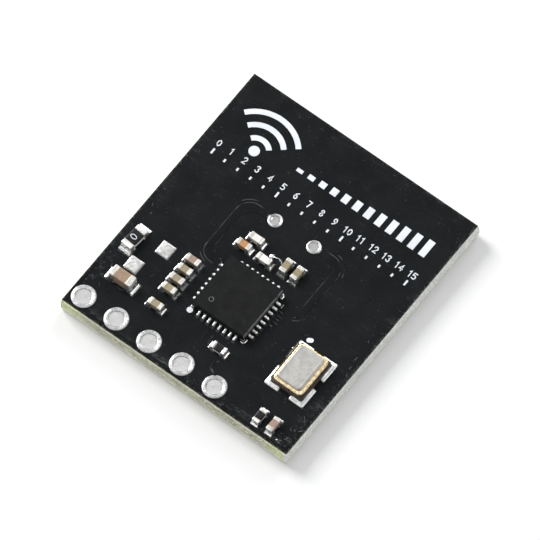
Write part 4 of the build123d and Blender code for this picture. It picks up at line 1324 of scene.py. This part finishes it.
# Middle and half spread of each scuffed zone along X and Y, and how many scratches it has
SCUFFED = [
    (-7.9, 0.6, -5.0, 3.6, 16),
    (-2.0, 6.0, -9.45, 0.22, 12),
    (7.9, 0.7, -8.8, 0.8, 18),
    (8.45, 0.2, -2.0, 6.0, 16),
]

# Scratches end within these distances of the middle, and keep this far from a header hole's centre
SCRATCH_LIMIT = np.array((8.6, 9.7))
HOLE_DISTANCE = 0.84


def scratch(draw, middle_x, spread_x, middle_y, spread_y):
    """A shallow scratch: a low ridge along a short, slightly bent path that starts and turns at random."""
    start = np.array((middle_x + spread_x * draw.uniform(-1, 1), middle_y + spread_y * draw.uniform(-1, 1)))
    turn = draw.uniform(0, 2 * np.pi)
    bend = turn + draw.normal(0, 0.5)
    length = draw.uniform(0.08, 0.30)
    way = np.array([(math.cos(turn), math.sin(turn)), (math.cos(bend), math.sin(bend))]) * length
    path = np.array([start, start + way[0], start + way[0] + way[1]])
    path = np.clip(path, -SCRATCH_LIMIT, SCRATCH_LIMIT)
    return ridge(path, draw.uniform(0.02, 0.035), 0.006, SCRATCH_BASE, 0.012, 5)


# Thin lines that fan out from the chip's leads towards the right edge
FAN_START = 2.48
FAN = [
    [(FAN_START, y), (FAN_START + run, y - 0.03)]
    for y, run in ((-2.3, 0.3), (-2.6, 0.5), (-2.85, 0.42), (-3.1, 0.55), (-3.4, 0.3))
]

draw = np.random.default_rng(8)
scratches = [scratch(draw, *zone[:4]) for zone in SCUFFED for _ in range(zone[4])]
holes = np.array([middle(node) for node in HEADER])
scratches = [s for s in scratches if np.linalg.norm(s[0][:, None, :2] - holes, axis=2).min() > HOLE_DISTANCE]
for start, end in FAN:
    scratches.append(ridge(np.linspace(start, end, 5), 0.045, 0.007, SCRATCH_BASE, 0.015, 5))
corner_nick = rounded_path([(7.5, -9.22), (7.72, -9.40), (8.02, -9.47)], 0.3, 6)
scratches.append(ridge(corner_nick, 0.05, 0.008, SCRATCH_BASE, 0.02, 5))
piece("mask_scratches", scratches, SCRATCH)

# ---------------------------------------------------------------- ruler numbers

# Strokes of each digit as paths on a grid of 2 by 4 units
DIGITS = {
    "0": [[(0, 1), (0, 3), (1, 4), (2, 3), (2, 1), (1, 0), (0, 1)]],
    "1": [[(0.2, 3.2), (1, 4), (1, 0)]],
    "2": [[(0, 3.2), (0.5, 4), (1.5, 4), (2, 3.2), (2, 2.5), (0, 0), (2, 0)]],
    "3": [[(0, 3.4), (0.6, 4), (1.5, 4), (2, 3.3), (1.3, 2.2), (2, 1.2), (1.5, 0), (0.6, 0), (0, 0.6)]],
    "4": [[(1.6, 0), (1.6, 4), (0, 1.2), (2.1, 1.2)]],
    "5": [[(2, 4), (0.2, 4), (0, 2.3), (1.2, 2.5), (2, 1.8), (2, 0.9), (1.3, 0), (0, 0.3)]],
    "6": [[(1.8, 4), (0.5, 3), (0, 1.2), (0.5, 0), (1.5, 0), (2, 1.0), (1.5, 2.1), (0.4, 2.0)]],
    "7": [[(0, 4), (2, 4), (0.8, 0)]],
    "8": [
        [(1, 2.2), (0.1, 3), (0.6, 4), (1.4, 4), (1.9, 3), (1, 2.2)]
        + [(0, 1), (0.6, 0), (1.4, 0), (2, 1), (1, 2.2)]
    ],
    "9": [[(0.2, 0), (1.5, 1), (2, 2.8), (1.5, 4), (0.5, 4), (0, 3), (0.5, 1.9), (1.6, 2.0)]],
}
DIGIT_UNIT, DIGIT_GAP = 0.105, 0.1
NUMBERS_Y = 4.42
TICKS = 16
numbers = []
for value in range(TICKS):
    text = str(value)
    wide = len(text) * 2 * DIGIT_UNIT + (len(text) - 1) * DIGIT_GAP
    left = (value - (TICKS - 1) / 2) - wide / 2
    for k, character in enumerate(text):
        corner = np.array((left + k * (2 * DIGIT_UNIT + DIGIT_GAP), NUMBERS_Y))
        for stroke in DIGITS[character]:
            path = np.array(stroke) * DIGIT_UNIT + corner
            numbers.append(ribbon(path, 0.07, MASK_TOP - 0.004, MASK_TOP + 0.018))
piece("ruler_numbers", numbers, PRINT, crease=20)

# ---------------------------------------------------------------- nodes that stay

KEPT = {
    "solder_mask_front": MASK,
    "solder_mask_back": MASK_BACK,
    "silkscreen_marks": PRINT,
    "feed_line_left": TINNED_END,
    "feed_line_right": TINNED_END,
    "transmit_antenna": COPPER,
    "receive_antenna": COPPER,
    "chip_body": MOULDING,
    "chip_leads": LEAD,
    "chip_thermal_pad": LEAD,
    "crystal_base": DARK_CERAMIC,
    "crystal_terminals": GOLD,
    "quartz_blank": QUARTZ,
}
for node, finish in KEPT.items():
    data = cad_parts[node].data
    if not data.materials:
        data.materials.append(finish)
    for index in range(len(data.materials)):
        data.materials[index] = finish

# ---------------------------------------------------------------- stage, light and camera


def floor_finish():
    """Matt pale floor. It glows a little more under the board, as a light table, which shows in the holes."""
    f = Finish("pale_floor")
    patches, _ = uneven(f, 0.01, 0.5)
    base = f.mix(patches, (0.68, 0.68, 0.68), (0.70, 0.70, 0.70))
    under = f.times(f.off_centre(0, 8.35, 8.5, 1.0, 0.0), f.off_centre(1, 9.4, 9.55, 1.0, 0.0))
    glow = f.mix(under, (0.10, 0.10, 0.10), (0.38, 0.38, 0.38))
    f.shader.inputs["Emission Strength"].default_value = 1.0
    f.shader.inputs["Specular IOR Level"].default_value = 0.0
    return f.set(Base_Color=base, Roughness=0.9, Emission_Color=glow).material


FLOOR_HALF = 3.0
floor_corners = [(x * FLOOR_HALF, y * FLOOR_HALF, 0) for x, y in ((-1, -1), (1, -1), (1, 1), (-1, 1))]
floor_mesh = bpy.data.meshes.new("floor")
floor_mesh.from_pydata(floor_corners, [], [(0, 1, 2, 3)])
floor_mesh.materials.append(floor_finish())
floor = bpy.data.objects.new("floor", floor_mesh)
bpy.context.scene.collection.objects.link(floor)


def soft_light(name, direction, distance, width, power):
    """A square soft panel in a direction from the board, facing it. Distance and width are in metres."""
    lamp = bpy.data.lights.new(name, "AREA")
    lamp.shape = "RECTANGLE"
    lamp.size = width
    lamp.size_y = width
    lamp.energy = power
    made = bpy.data.objects.new(name, lamp)
    bpy.context.scene.collection.objects.link(made)
    way = np.array(direction, float)
    way = way / np.linalg.norm(way)
    made.location = way * distance
    made.rotation_mode = "QUATERNION"
    made.rotation_quaternion = made.location.to_track_quat("Z", "Y")


soft_light("overhead_panel", (-0.26, 0.35, 0.90), 0.6, 0.5, 0.50)
soft_light("left_panel", (-1.0, 0.14, 0.80), 0.5, 0.24, 2.7)
soft_light("far_panel", (-0.1, 1.0, 0.55), 0.5, 0.26, 0.9)
soft_light("right_fill", (0.9, 0.33, 0.24), 0.8, 0.5, 1.8)
soft_light("front_fill", (-0.24, -0.9, 0.33), 0.8, 0.5, 1.0)

world = bpy.data.worlds.new("studio")
world.use_nodes = True
background = world.node_tree.nodes["Background"]
background.inputs["Color"].default_value = (0.985, 0.99, 1.0, 1)
background.inputs["Strength"].default_value = 0.41
bpy.context.scene.world = world

# The camera looks down from the near right, far away with a long lens. Focal and picture are in pixels,
# and aside, raised and away in millimetres along the camera's own axes.
SENSOR, FOCAL, PICTURE = 36.0, 11354.3, 540
aside, raised, away = -0.0179, 0.1438, 702.68
turn, rise = math.radians(37.309), math.radians(64.2272)
right = np.array([math.cos(turn), math.sin(turn), 0.0])
back = np.array([math.sin(turn) * math.cos(rise), -math.cos(turn) * math.cos(rise), math.sin(rise)])
up = np.cross(back, right)
place = (right * aside + up * raised + back * away) * MM
camera = bpy.data.objects.new("camera", bpy.data.cameras.new("camera"))
bpy.context.scene.collection.objects.link(camera)
camera.data.sensor_width = SENSOR
camera.data.lens = FOCAL / PICTURE * SENSOR
camera.data.clip_start = 0.05
camera.data.clip_end = 20.0
facing = np.column_stack([right, up, back])
camera.matrix_world = Matrix.Translation(place) @ Matrix(facing.tolist()).to_4x4()
bpy.context.scene.camera = camera
bpy.context.scene.view_settings.view_transform = "Standard"
